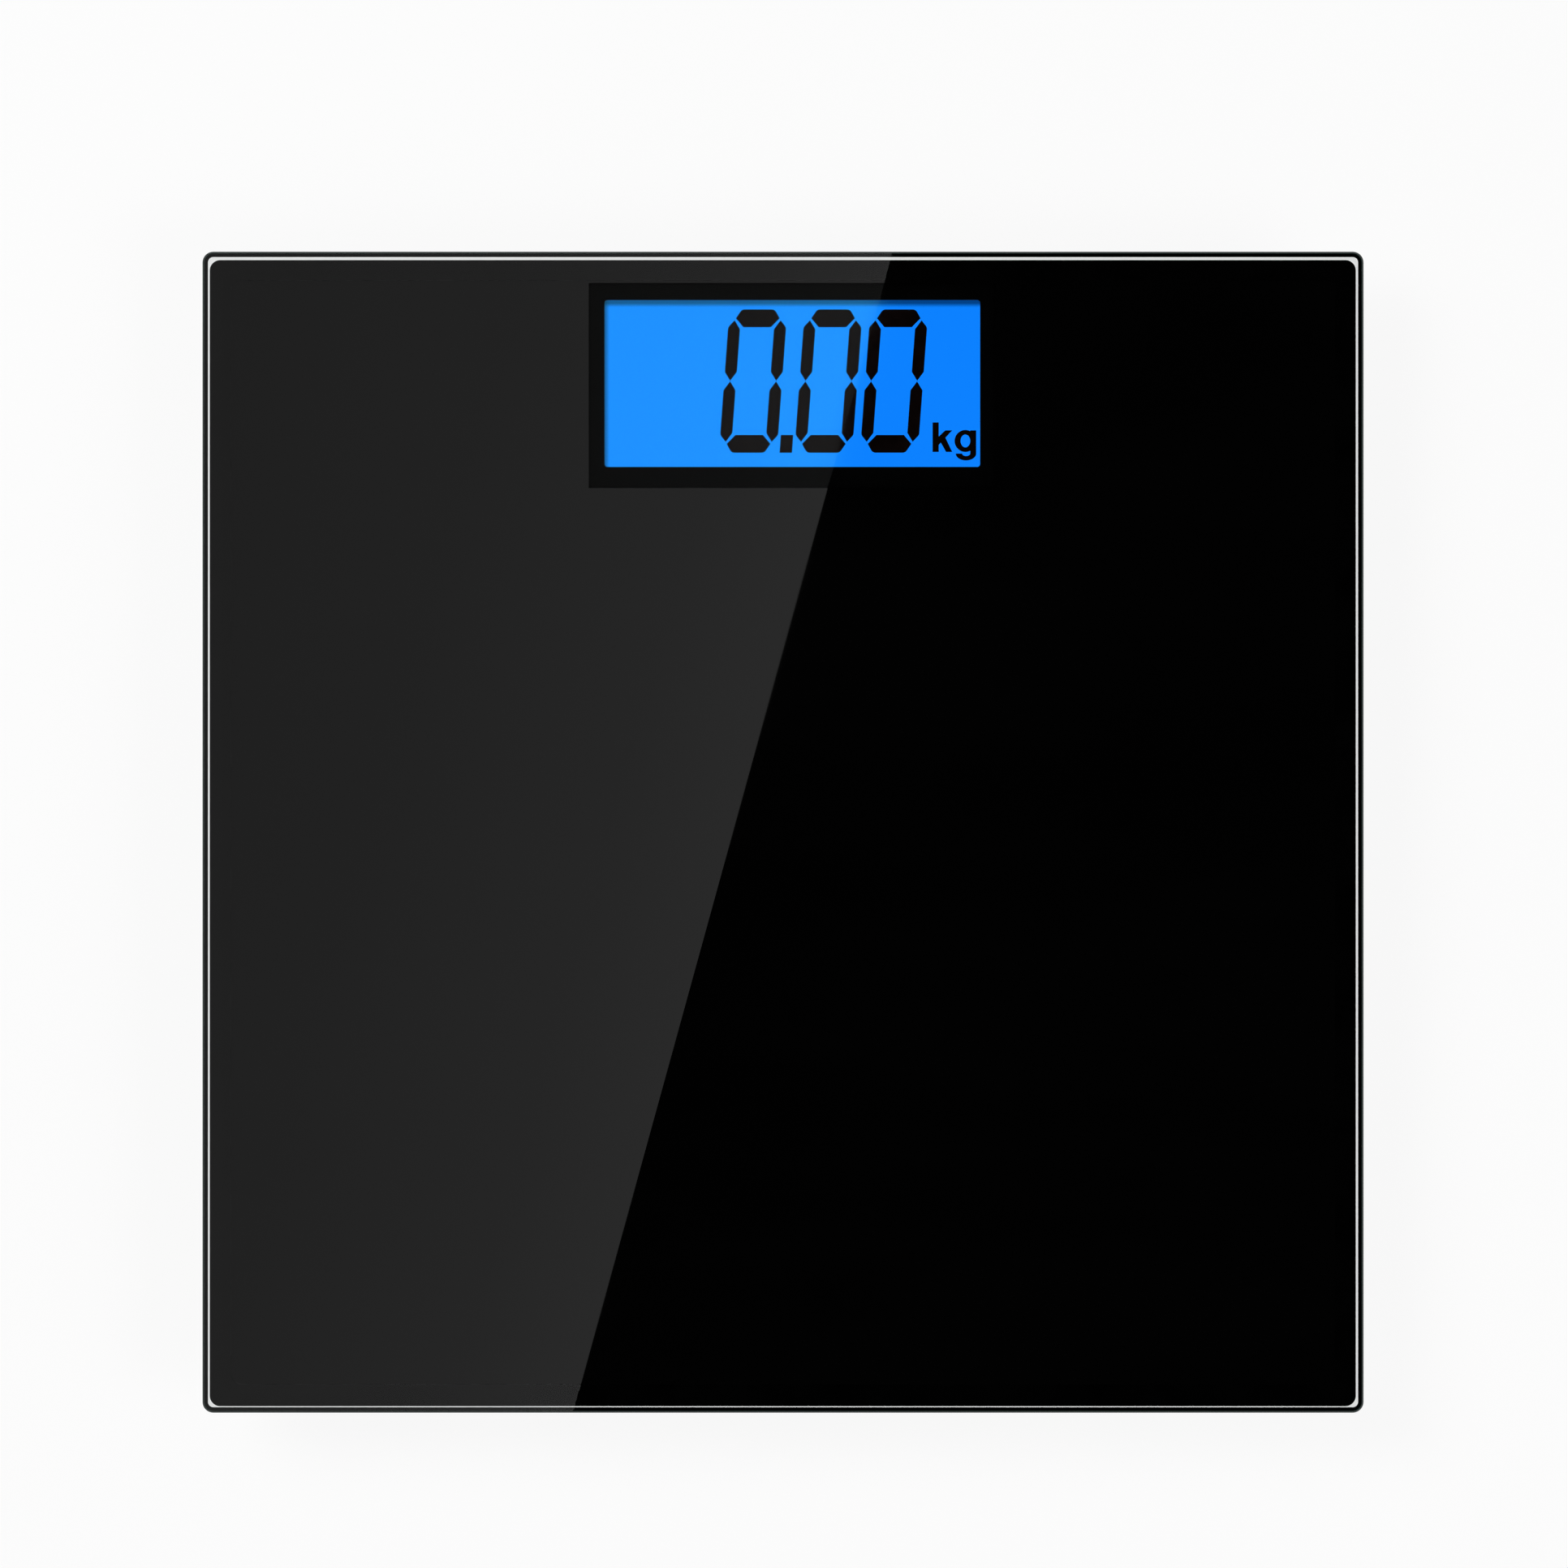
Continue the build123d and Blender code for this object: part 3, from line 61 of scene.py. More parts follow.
def in_mm(lengths):
    """Lengths in millimetres, rounded to be read."""
    return [round(length / MM, 2) for length in lengths]


# %% [markdown]
# ## The camera
# The photograph looks straight down on the glass, with almost no perspective. A camera with no
# turn at all looks down in Blender, so only its place has to be found. The square of glass spans
# a known number of pixels, which gives the size of one pixel on the glass; a very long lens keeps
# the display under the glass from sliding sideways against the edge above it.

# %% Place the camera by the glass
PHOTO_SIDE_PX = 1932
GLASS_SIDE_PX = 1430.7
GLASS_MIDDLE_PX = (964.8, 1025.4)
LENS_MM = 300
SENSOR_MM = 36

glass_low, glass_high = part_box("glass_platform")
glass_side = glass_high.x - glass_low.x
glass_top = glass_high.z
pixel = glass_side / GLASS_SIDE_PX
camera_height = PHOTO_SIDE_PX * pixel * LENS_MM / SENSOR_MM

camera_data = bpy.data.cameras.new("photo_camera")
camera_data.lens = LENS_MM
camera_data.sensor_width = SENSOR_MM
camera = bpy.data.objects.new("photo_camera", camera_data)
camera.location = (
    (PHOTO_SIDE_PX / 2 - GLASS_MIDDLE_PX[0]) * pixel,
    (GLASS_MIDDLE_PX[1] - PHOTO_SIDE_PX / 2) * pixel,
    glass_top + camera_height,
)
scene.collection.objects.link(camera)
scene.camera = camera
print("camera, mm:", in_mm(camera.location), "and one pixel on the glass:", in_mm([pixel]))

# %% [markdown]
# ## A small kit for finishes
# Every surface below is a node material, and most of them need the same few things: a cloudy
# texture at a chosen size, a ramp that turns it into colours, a range that turns it into gloss,
# and a bump. Nodes can be added by hand in the editor; two short classes that add and join them
# keep each finish readable in a script. The first class works on any tree of nodes, so the sky
# can use it too. The second is one material. Its textures read the object's own coordinates,
# which here are metres in the CAD frame, so a size means the same on every piece.

# %% Nodes and links
class NodeKit:
    """Short ways to add nodes to a tree and to join them."""

    def __init__(self, tree):
        self.tree = tree

    def feed(self, socket, value):
        """Join a socket to another node's output, or set its value."""
        if isinstance(value, bpy.types.NodeSocket):
            self.tree.links.new(value, socket)
        elif socket.type == "RGBA":
            socket.default_value = (*value, 1.0)
        else:
            socket.default_value = value

    def feed_all(self, sockets, values):
        """Feed sockets by their names, with _ for a space."""
        for name, value in values.items():
            self.feed(sockets[name.replace("_", " ")], value)

    def node(self, kind, operation=None, **values):
        """A new node with some of its inputs fed."""
        made = self.tree.nodes.new("ShaderNode" + kind)
        if operation:
            made.operation = operation
        self.feed_all(made.inputs, values)
        return made

    def math(self, operation, first, second):
        """The result of one sum on two values."""
        made = self.node("Math", operation)
        self.feed(made.inputs[0], first)
        self.feed(made.inputs[1], second)
        return made.outputs[0]

    def span(self, value, start, end, low=0.0, high=1.0, curve="LINEAR"):
        """Carry a value from one range to another and stop at its ends."""
        made = self.node("MapRange", From_Min=start, From_Max=end, To_Min=low, To_Max=high)
        made.interpolation_type = curve
        self.feed(made.inputs["Value"], value)
        return made.outputs["Result"]


print("node kit ready")

# %% One material
NOISE_ENDS = (0.3, 0.7)        # noise hardly leaves this range


def grey(value):
    """A neutral colour."""
    return (value, value, value)


class Finish(NodeKit):
    """One material: its shader, and the textures to put in front of it."""

    def __init__(self, name):
        self.material = bpy.data.materials.new(name)
        self.material.use_nodes = True
        super().__init__(self.material.node_tree)
        self.shader = self.tree.nodes["Principled BSDF"]
        self.place = self.node("TexCoord").outputs["Object"]

    def set(self, **values):
        """Feed the shader's own sockets."""
        self.feed_all(self.shader.inputs, values)

    def mixed(self, share, first, second):
        """One shader that turns into another by a share."""
        made = self.node("MixShader", Fac=share)
        self.feed(made.inputs[1], first)
        self.feed(made.inputs[2], second)
        return made.outputs["Shader"]

    def show(self, shader):
        """Put another shader on the surface."""
        self.feed(self.tree.nodes["Material Output"].inputs["Surface"], shader)

    def axis(self, letter):
        """One coordinate of the surface, in metres."""
        return self.node("SeparateXYZ", Vector=self.place).outputs[letter]

    def sized(self, size, stretch=(1, 1, 1)):
        """The coordinates counted in units of a size, drawn out along the axes."""
        scaled = self.node("VectorMath", "MULTIPLY")
        self.feed(scaled.inputs[0], self.place)
        self.feed(scaled.inputs[1], [1 / (size * share) for share in stretch])
        return scaled.outputs[0]

    def clouds(self, size, stretch=(1, 1, 1), detail=3.0):
        """Soft blotches of about that size."""
        made = self.node("TexNoise", Vector=self.sized(size, stretch), Scale=1.0, Detail=detail)
        return made.outputs["Fac"]

    def cells(self, size, evenness=0.0, metric="EUCLIDEAN"):
        """The distance to the middle of cells of about that size."""
        made = self.node("TexVoronoi", Vector=self.sized(size), Scale=1.0)
        self.feed(made.inputs["Randomness"], 1.0 - evenness)
        made.distance = metric
        return made.outputs["Distance"]

    def ramp(self, value, *stops):
        """Colours along a value, as pairs of place and colour."""
        made = self.node("ValToRGB", Fac=value)
        while len(made.color_ramp.elements) < len(stops):
            made.color_ramp.elements.new(1.0)
        for element, (place, colour) in zip(made.color_ramp.elements, stops):
            element.position = place
            element.color = (*colour, 1.0)
        return made.outputs["Color"]

    def fade(self, value, stops):
        """Greys along a value, as pairs of place and brightness."""
        return self.ramp(value, *((place, grey(level)) for place, level in stops))

    def tones(self, texture, low, high, ends=NOISE_ENDS):
        """Two colours, for the low and the high values of a texture."""
        return self.ramp(texture, (ends[0], low), (ends[1], high))

    def gloss(self, texture, low, high, ends=NOISE_ENDS):
        """Two values of roughness, for the low and the high values of a texture."""
        return self.span(texture, *ends, low, high)

    def emboss(self, height, depth):
        """Raise the surface by a texture, by that many metres."""
        bump = self.node("Bump", Height=height, Distance=depth, Strength=1.0)
        self.set(Normal=bump.outputs["Normal"])


print("finish kit ready")

# %% Dressing the nodes
dressed = set()


def shade(colour, share):
    """The colour made darker or lighter."""
    return tuple(min(1.0, value * share) for value in colour)


def dress(finish, *names):
    """Put a finish on every CAD node whose name starts like one of these."""
    found = [name for name in nodes if name.startswith(names)]
    for name in found:
        nodes[name].data.materials.clear()
        nodes[name].data.materials.append(finish.material)
    dressed.update(found)
    print(finish.material.name, "on", len(found), "nodes")


print(len(nodes), "nodes to dress")

# %% [markdown]
# ## The finishes of the glass
# From above, glass over bonded black ink is simply black gloss: the ink touches the glass, so
# there is no second reflection and nothing to see inside. It is made as an opaque shader, which
# gives a clean mirror. Only two places are really looked through, and are real clear glass: a
# rim that shows the white line 6 mm down, and the window over the display. The window is coated
# against glare, which is why the photograph's reflection is weaker there; a grey specular tint
# takes the mirror down in the same way and leaves the bending of light as it is.

# %% Black gloss, clear rim, coated window
FAINT_ENDS = (0.35, 0.65)
GLASS_INDEX = 1.5
GLASS_GREENS = ((0.96, 0.985, 0.975), (0.97, 0.99, 0.98))
PLAIN_TINT = 1.0
COATING_TINT = 0.115


def clear_glass(name, tint):
    """Polished clear glass with a trace of green."""
    finish = Finish(name)
    finish.set(
        Base_Color=finish.tones(finish.clouds(size=60 * MM), *GLASS_GREENS, FAINT_ENDS),
        Roughness=0.0,
        IOR=GLASS_INDEX,
        Specular_Tint=grey(tint),
        Transmission_Weight=1.0,
    )
    return finish


black_gloss = Finish("black_gloss_glass")
wipe_marks = black_gloss.clouds(size=45 * MM, stretch=(3, 1, 1))
black_gloss.set(
    Base_Color=black_gloss.tones(wipe_marks, grey(0.0004), grey(0.0008), FAINT_ENDS),
    Roughness=black_gloss.gloss(wipe_marks, 0.002, 0.008, FAINT_ENDS),
    IOR=GLASS_INDEX,
)
clear_rim = clear_glass("clear_rim_glass", PLAIN_TINT)
coated_window = clear_glass("coated_window_glass", COATING_TINT)
for finish in (black_gloss, clear_rim, coated_window):
    print("glass finish:", finish.material.name)

# %% [markdown]
# The edge of the plate is ground and then polished by a belt that runs along it, which leaves
# fine lines. Over black ink the 6 mm of glass look a deep bottle green there. Drawn-out noise
# gives the lines, in the colour, the gloss and a very small bump.

# %% Ground edge
BOTTLE_GREENS = ((0.002, 0.007, 0.006), (0.006, 0.018, 0.014))

ground_edge = Finish("ground_edge_glass")
belt_lines = ground_edge.clouds(size=0.4 * MM, stretch=(60, 60, 1), detail=5.0)
ground_edge.set(
    Base_Color=ground_edge.tones(belt_lines, *BOTTLE_GREENS),
    Roughness=ground_edge.gloss(belt_lines, 0.05, 0.2),
    IOR=GLASS_INDEX,
)
ground_edge.emboss(belt_lines, depth=0.01 * MM)
print("edge finish:", ground_edge.material.name)

# %% [markdown]
# ## Flat pieces with holes
# The plate, its ink and the mask round the display are all flat: an outline, perhaps with a
# hole, and walls between two heights. A cube with modifiers would give their box, but not the
# rounded corners and the faces that need their own finish, so they are built from rings of
# points with bmesh. The helpers draw a ring, build a wall between two rings and fill the flat
# region between a ring and the holes in it. The last two turn a mesh into a piece that rides on
# a body of the frame, and build a whole slab.

# %% Rings
CORNER_STEPS = 10
QUARTERS = ((1, -1), (1, 1), (-1, 1), (-1, -1))


def rounded_ring(width, depth, radius, middle=(0.0, 0.0)):
    """Points of a rounded rectangle, anticlockwise from its front right corner."""
    points = []
    for quarter, (side, end) in enumerate(QUARTERS):
        centre_x = middle[0] + side * (width / 2 - radius)
        centre_y = middle[1] + end * (depth / 2 - radius)
        for step in range(CORNER_STEPS + 1):
            angle = radians(90 * (quarter - 1 + step / CORNER_STEPS))
            points.append((centre_x + radius * cos(angle), centre_y + radius * sin(angle)))
    return points


def box_ring(low, high):
    """The four corners of a rectangle with sides along X and Y."""
    return [(low[0], low[1]), (high[0], low[1]), (high[0], high[1]), (low[0], high[1])]


print("a rounded ring has", len(QUARTERS) * (CORNER_STEPS + 1), "points")

# %% Walls and fills
def raise_ring(mesh, points, z):
    """A ring of vertices at one height."""
    return [mesh.verts.new((x, y, z)) for x, y in points]


def wall(mesh, lower, upper, finish_number=0):
    """The faces between two rings with the same number of points."""
    for index, corner in enumerate(lower):
        following = (index + 1) % len(lower)
        face = mesh.faces.new((corner, lower[following], upper[following], upper[index]))
        face.material_index = finish_number


def flat_fill(mesh, rings, finish_number=0):
    """The flat faces inside the first ring and outside the others."""
    edges = []
    for ring in rings:
        for start, end in zip(ring, ring[1:] + ring[:1]):
            edges.append(mesh.edges.get((start, end)) or mesh.edges.new((start, end)))
    made = bmesh.ops.triangle_fill(mesh, use_beauty=True, edges=edges)
    for item in made["geom"]:
        if isinstance(item, bmesh.types.BMFace):
            item.material_index = finish_number


print("wall and fill helpers ready")

# %% Pieces
SMOOTH_ANGLE = radians(25)


def make_piece(mesh, name, body, slot, *finishes):
    """Turn a built mesh into a piece that rides on a body."""
    bmesh.ops.recalc_face_normals(mesh, faces=mesh.faces)
    data = bpy.data.meshes.new(name)
    mesh.to_mesh(data)
    mesh.free()
    for finish in finishes:
        data.materials.append(finish.material)
    data.polygons.foreach_set("use_smooth", [True] * len(data.polygons))
    data.set_sharp_from_angle(angle=SMOOTH_ANGLE)
    piece = bpy.data.objects.new(name, data)
    scene.collection.objects.link(piece)
    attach(piece, body)
    print(name, "has", len(data.polygons), "faces and rides on", body)
    return piece


def slab(name, body, slot, outer, holes, low, high, *finishes):
    """A flat piece with holes; a second finish goes on its underside."""
    mesh = bmesh.new()
    bottom = [raise_ring(mesh, ring, low) for ring in (outer, *holes)]
    top = [raise_ring(mesh, ring, high) for ring in (outer, *holes)]
    for lower, upper in zip(bottom, top):
        wall(mesh, lower, upper)
    flat_fill(mesh, top)
    flat_fill(mesh, bottom, len(finishes) - 1)
    return make_piece(mesh, name, body, slot, *finishes)


print("piece helpers ready")

# %% [markdown]
# ## The glass plate
# The CAD plate has the right shape, but one finish for all of it. The new plate keeps its
# outline and its ground arrises, and splits the top into the black field, the clear rim over the
# white line and the coated window. Its underside lies a hair inside the ink, so that a ray that
# comes down through the glass meets ink with no gap of air, as in a real print. Lamps shine
# through refracting glass only with heavy noise, so the plate itself casts no shadow and is left
# out of soft bounces; the ink under it still casts the shadow of the whole plate.

# %% Where the display shows
LCD_BORDER = 3.0 * MM
LCD_LEDGE = 3.0 * MM
WINDOW_SIDES = 4.0 * MM
WINDOW_BACK = 4.2 * MM
WINDOW_FRONT = 5.6 * MM

lcd_low, lcd_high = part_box("lcd_panel")
lit_low = Vector((lcd_low.x + LCD_BORDER, lcd_low.y + LCD_LEDGE + LCD_BORDER))
lit_high = Vector((lcd_high.x - LCD_BORDER, lcd_high.y - LCD_BORDER))
window_low = lit_low - Vector((WINDOW_SIDES, WINDOW_FRONT))
window_high = lit_high + Vector((WINDOW_SIDES, WINDOW_BACK))
window_corners = box_ring(window_low, window_high)
print("lit display, mm:", in_mm((*lit_low, *lit_high)))

# %% Build the plate
PLATE_CORNER = 2.8 * MM
ARRIS = 0.4 * MM
RIM_WIDTH = 7.4 * MM
INK_CONTACT = 0.05 * MM
BLACK, RIM, WINDOW, EDGE = range(4)

flat_side = glass_side - 2 * ARRIS
flat_corner = PLATE_CORNER - ARRIS
field_side = glass_side - 2 * RIM_WIDTH
plate_bottom = glass_low.z - INK_CONTACT
plate = bmesh.new()


def plate_ring(side, corner, z):
    """A square ring of the plate at one height."""
    return raise_ring(plate, rounded_ring(side, side, corner), z)


foot_ring = plate_ring(flat_side, flat_corner, plate_bottom)
low_ring = plate_ring(glass_side, PLATE_CORNER, plate_bottom + ARRIS)
high_ring = plate_ring(glass_side, PLATE_CORNER, glass_top - ARRIS)
top_ring = plate_ring(flat_side, flat_corner, glass_top)
field_ring = plate_ring(field_side, PLATE_CORNER, glass_top)
window_rings = [raise_ring(plate, window_corners, z) for z in (plate_bottom, glass_top)]
wall(plate, foot_ring, low_ring, EDGE)
wall(plate, low_ring, high_ring, EDGE)
wall(plate, high_ring, top_ring, EDGE)
wall(plate, top_ring, field_ring, RIM)
flat_fill(plate, [field_ring, window_rings[1]], BLACK)
flat_fill(plate, [foot_ring, window_rings[0]], RIM)
for ring in window_rings:
    plate.faces.new(ring).material_index = WINDOW
glass_plate = make_piece(
    plate, "glass_plate", "platform", "clear_glass",
    black_gloss, clear_rim, coated_window, ground_edge,
)
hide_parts("glass_platform")
glass_plate.visible_shadow = False
glass_plate.visible_diffuse = False

# %% [markdown]
# ## The prints under the glass
# Black ink is screen printed on the underside, over a fine white line. Where the ink is bonded
# to the glass it has no gloss of its own, while its open back is a flat lacquer with the faint
# streaks of the squeegee. So the film is one thin slab with two finishes: its top lies just
# under the top of the white line, and its back closes over the line as the last coat does.

# %% Ink finishes
bonded_ink = Finish("bonded_black_ink")
ink_patches = bonded_ink.clouds(size=12 * MM)
bonded_ink.set(
    Base_Color=bonded_ink.tones(ink_patches, grey(0.0003), grey(0.0007), FAINT_ENDS),
    Roughness=0.9,
    Specular_IOR_Level=0.0,
)
open_ink = Finish("open_black_ink")
streaks = open_ink.clouds(size=3 * MM, stretch=(1, 40, 1), detail=5.0)
orange_peel = open_ink.clouds(size=0.9 * MM)
open_ink.set(
    Base_Color=open_ink.tones(streaks, grey(0.004), grey(0.009)),
    Roughness=open_ink.gloss(streaks, 0.32, 0.46),
)
open_ink.emboss(orange_peel, depth=0.02 * MM)
print("ink finishes:", bonded_ink.material.name, open_ink.material.name)

# %% Ink film
FILM_DROP = 0.01 * MM
BACK_COAT = 0.005 * MM

ink_low, ink_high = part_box("black_print")
print_side = ink_high.x - ink_low.x
ink_film = slab(
    "ink_film", "platform", "black_ink",
    rounded_ring(print_side, print_side, flat_corner),
    [window_corners],
    ink_low.z - BACK_COAT, ink_high.z - FILM_DROP,
    bonded_ink, open_ink,
)
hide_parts("black_print")

# %% White line
THREAD_ENDS = (0.2, 0.8)

white_ink = Finish("white_line_ink")
screen_mesh = white_ink.cells(size=0.15 * MM, evenness=0.8)
white_ink.set(
    Base_Color=white_ink.tones(screen_mesh, grey(0.93), grey(0.86), THREAD_ENDS),
    Roughness=0.7,
    Specular_IOR_Level=0.1,
)
dress(white_ink, "border_line")

# %% [markdown]
# ## The display
# Behind the window a black mask frames the liquid crystal panel. The panel glows an even blue,
# and the frame shades its top and left borders: that is in the emission, whose strength falls
# off towards the two borders. A bright film lies under the dyed crystal, so the panel mirrors
# more than plain glass does, and what it mirrors comes back blue-green. The segments are the CAD
# solids with a dark dye, which hides that film.

# %% Mask round the display
MASK_REACH = 0.5 * MM
MASK_THICKNESS = 0.1 * MM
LIT_CORNER = 0.8 * MM

mask_black = Finish("display_mask_black")
flock = mask_black.clouds(size=0.3 * MM)
mask_black.set(
    Base_Color=mask_black.tones(flock, grey(0.0003), grey(0.0008)),
    Roughness=0.95,
    Specular_IOR_Level=0.02,
)
case_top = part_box("display_case")[1].z
lit_size = lit_high - lit_low
lit_middle = (lit_low + lit_high) / 2
reach = Vector((MASK_REACH, MASK_REACH))
slab(
    "window_mask", "platform", "black_ink",
    box_ring(window_low - reach, window_high + reach),
    [rounded_ring(lit_size.x, lit_size.y, LIT_CORNER, lit_middle)],
    case_top, case_top + MASK_THICKNESS,
    mask_black,
)

# %% Lit panel
PANEL_COLOUR = (0.004, 0.218, 1.0)
PANEL_DARK = (0.0, 0.001, 0.003)
PANEL_GLOW = 1.03
FILM_IOR = 2.25
FILM_TINT = (0.11, 1.0, 1.0)
SHADED_BACK = 1.9 * MM
SHADED_LEFT = 1.3 * MM
BACK_SHADES = ((0.0, 0.235), (0.42, 0.235), (0.7, 0.6), (1.0, 1.0))
LEFT_SHADES = ((0.0, 0.22), (0.4, 0.5), (1.0, 1.0))

panel_blue = Finish("lit_panel_blue")
from_back = panel_blue.span(panel_blue.axis("Y"), lit_high.y, lit_high.y - SHADED_BACK)
from_left = panel_blue.span(panel_blue.axis("X"), lit_low.x, lit_low.x + SHADED_LEFT)
back_shade = panel_blue.fade(from_back, BACK_SHADES)
left_shade = panel_blue.fade(from_left, LEFT_SHADES)
both_shades = panel_blue.math("MULTIPLY", back_shade, left_shade)
panel_blue.set(
    Base_Color=PANEL_DARK,
    Roughness=0.03,
    IOR=FILM_IOR,
    Specular_Tint=FILM_TINT,
    Emission_Color=PANEL_COLOUR,
    Emission_Strength=panel_blue.math("MULTIPLY", both_shades, PANEL_GLOW),
)
dress(panel_blue, "lcd_panel")

# %% Segments
DYE_BROWNS = ((0.002, 0.001, 0.001), (0.004, 0.002, 0.002))

segment_dye = Finish("segment_dye")
segment_dye.set(
    Base_Color=segment_dye.tones(segment_dye.clouds(size=4 * MM), *DYE_BROWNS),
    Roughness=0.03,
    Specular_IOR_Level=0.12,
)
dress(segment_dye, "lcd_segments")

# %% [markdown]
# ## Mouldings, rubber and foam
# The case, its cover and the feet are black plastic from spark-eroded moulds: a fine even grain,
# a slightly cloudy black and a gloss that changes with the grain. Rubber, nylon, silicone and
# epoxy differ only in colour, grain and gloss, so one function makes them all. The grain is a
# bump, as it is far too small for geometry. Foam is different: its surface is cut bubbles, so it
# gets a texture of cells, with painted shade that darkens the hollow of each bubble.

# %% Moulded finishes
MOULD_CLOUD = 22 * MM
CLOUD_SHARE = 0.6
MOULD_DARK, MOULD_LIGHT = 0.75, 1.3
MOULD_SWING = 0.07


def moulded(name, colour, roughness, grain, relief):
    """A moulded plastic or rubber with a fine raised grain."""
    finish = Finish(name)
    fine = finish.clouds(grain)
    slow_part = finish.math("MULTIPLY", finish.clouds(MOULD_CLOUD), CLOUD_SHARE)
    fine_part = finish.math("MULTIPLY", fine, 1.0 - CLOUD_SHARE)
    cloudy = finish.math("ADD", slow_part, fine_part)
    finish.set(
        Base_Color=finish.tones(cloudy, shade(colour, MOULD_DARK), shade(colour, MOULD_LIGHT)),
        Roughness=finish.gloss(fine, roughness - MOULD_SWING, roughness + MOULD_SWING),
    )
    finish.emboss(fine, relief)
    return finish


MOULDINGS = {        # colour, roughness, grain and relief in mm, nodes
    "case_black_moulding":
        (grey(0.020), 0.50, 0.35, 0.03, ("display_case", "rear_cover", "battery_door")),
    "foot_black_moulding": (grey(0.024), 0.46, 0.5, 0.03, ("foot_mount", "foot_cap")),
    "pad_grey_rubber": (grey(0.060), 0.78, 0.7, 0.06, ("rubber_pad",)),
    "gauge_white_silicone": ((0.74, 0.74, 0.70), 0.42, 1.5, 0.12, ("gauge_sealant",)),
    "clip_natural_nylon": ((0.66, 0.65, 0.60), 0.40, 1.0, 0.02, ("lead_clips",)),
    "button_grey_moulding": (grey(0.22), 0.45, 0.4, 0.02, ("unit_button",)),
    "switch_dark_moulding": (grey(0.03), 0.40, 0.3, 0.01, ("switch_",)),
    "backlight_white_moulding": ((0.80, 0.81, 0.83), 0.38, 0.6, 0.02, ("backlight_frame",)),
    "bonded_black_epoxy": (grey(0.008), 0.22, 3.0, 0.10, ("bonded_chip",)),
}
for name, (colour, roughness, grain, relief, pieces) in MOULDINGS.items():
    dress(moulded(name, colour, roughness, grain * MM, relief * MM), *pieces)

# %% Foam tape
HOLLOW_SHADE_ENDS = (0.1, 0.7)
HOLLOW_ENDS = (0.0, 0.8)

tape_foam = Finish("tape_black_foam")
bubbles = tape_foam.cells(size=0.4 * MM)
# The colour is painted shade: dark in the hollow of each bubble, lighter on the walls between
# them.
tape_foam.set(
    Base_Color=tape_foam.tones(bubbles, grey(0.012), grey(0.05), HOLLOW_SHADE_ENDS),
    Roughness=tape_foam.gloss(bubbles, 0.95, 0.75, HOLLOW_ENDS),
)
tape_foam.emboss(bubbles, depth=0.15 * MM)
dress(tape_foam, "foot_tape", "case_tape")

# %% [markdown]
# ## Metals
# The load cells are stamped from zinc plated sheet, the screws and contacts are plated too and
# the solder is dull tin. Plated sheet shows the lines of rolling and slow patches of tone. Drawn
# out noise makes the lines; a larger noise moves the colour.

# %% Plated and rolled metals
TONE_PATCH = 9 * MM
PLATE_DARK, PLATE_LIGHT = 0.82, 1.1
SMOOTHER, ROUGHER = 0.08, 0.1


def plated(name, colour, roughness, line):
    """Rolled and plated metal with lines along X."""
    finish = Finish(name)
    rolling = finish.clouds(line, stretch=(30, 1, 1), detail=4.0)
    patches = finish.clouds(TONE_PATCH)
    finish.set(
        Base_Color=finish.tones(patches, shade(colour, PLATE_DARK), shade(colour, PLATE_LIGHT)),
        Metallic=1.0,
        Roughness=finish.gloss(rolling, roughness - SMOOTHER, roughness + ROUGHER),
    )
    finish.emboss(rolling, depth=0.01 * MM)
    return finish


METALS = {        # colour, roughness, width of a line in mm, nodes
    "cell_zinc_plating": ((0.60, 0.61, 0.63), 0.32, 0.4, ("load_cell",)),
    "screw_zinc_plating": ((0.52, 0.53, 0.55), 0.28, 0.2, ("cover_screws", "board_screws")),
    "contact_nickel": ((0.66, 0.63, 0.57), 0.22, 0.3, ("contact_",)),
    "crystal_can_nickel": ((0.70, 0.70, 0.69), 0.18, 0.3, ("crystal_can",)),
    "solder_tin": ((0.62, 0.62, 0.63), 0.35, 0.8, ("solder_joints",)),
}
for name, (colour, roughness, line, pieces) in METALS.items():
    dress(plated(name, colour, roughness, line * MM), *pieces)

# %% [markdown]
# ## Leads
# The leads of the load cells and of the battery bay are thin PVC wires. PVC is smooth, with a
# soft gloss and a slight unevenness from the extruder. One function with a slow noise makes all
# three colours.

# %% Lead colours
PVC_DARK, PVC_LIGHT = 0.85, 1.12


def insulation(name, colour):
    """Smooth extruded PVC."""
    finish = Finish(name)
    ripple = finish.clouds(size=2.5 * MM)
    finish.set(
        Base_Color=finish.tones(ripple, shade(colour, PVC_DARK), shade(colour, PVC_LIGHT)),
        Roughness=finish.gloss(ripple, 0.30, 0.42),
    )
    finish.emboss(ripple, depth=0.04 * MM)
    return finish


LEADS = {
    "lead_red_insulation": ((0.50, 0.018, 0.016), ("leads_red", "battery_lead_red")),
    "lead_black_insulation": (grey(0.016), ("leads_black", "battery_lead_black")),
    "lead_white_insulation": ((0.76, 0.76, 0.73), ("leads_white",)),
}
for name, (colour, pieces) in LEADS.items():
    dress(insulation(name, colour), *pieces)

# %% [markdown]
# ## Inside the case
# These pieces show only when the cover is off, but they have their own look: a green board with
# its copper runs under the mask, a layered rubber strip that carries the signals to the panel,
# an acrylic guide with a grid of dots that let the light out, and small ceramic parts with
# soldered ends. Their solids are right as they are, so the detail is all in the textures.

# %% Circuit board
BOARD_GREEN = (0.010, 0.10, 0.035)
RUN_GREEN = (0.03, 0.24, 0.09)
RUN_STEPS = (0.38, 0.41, 0.47, 0.50)

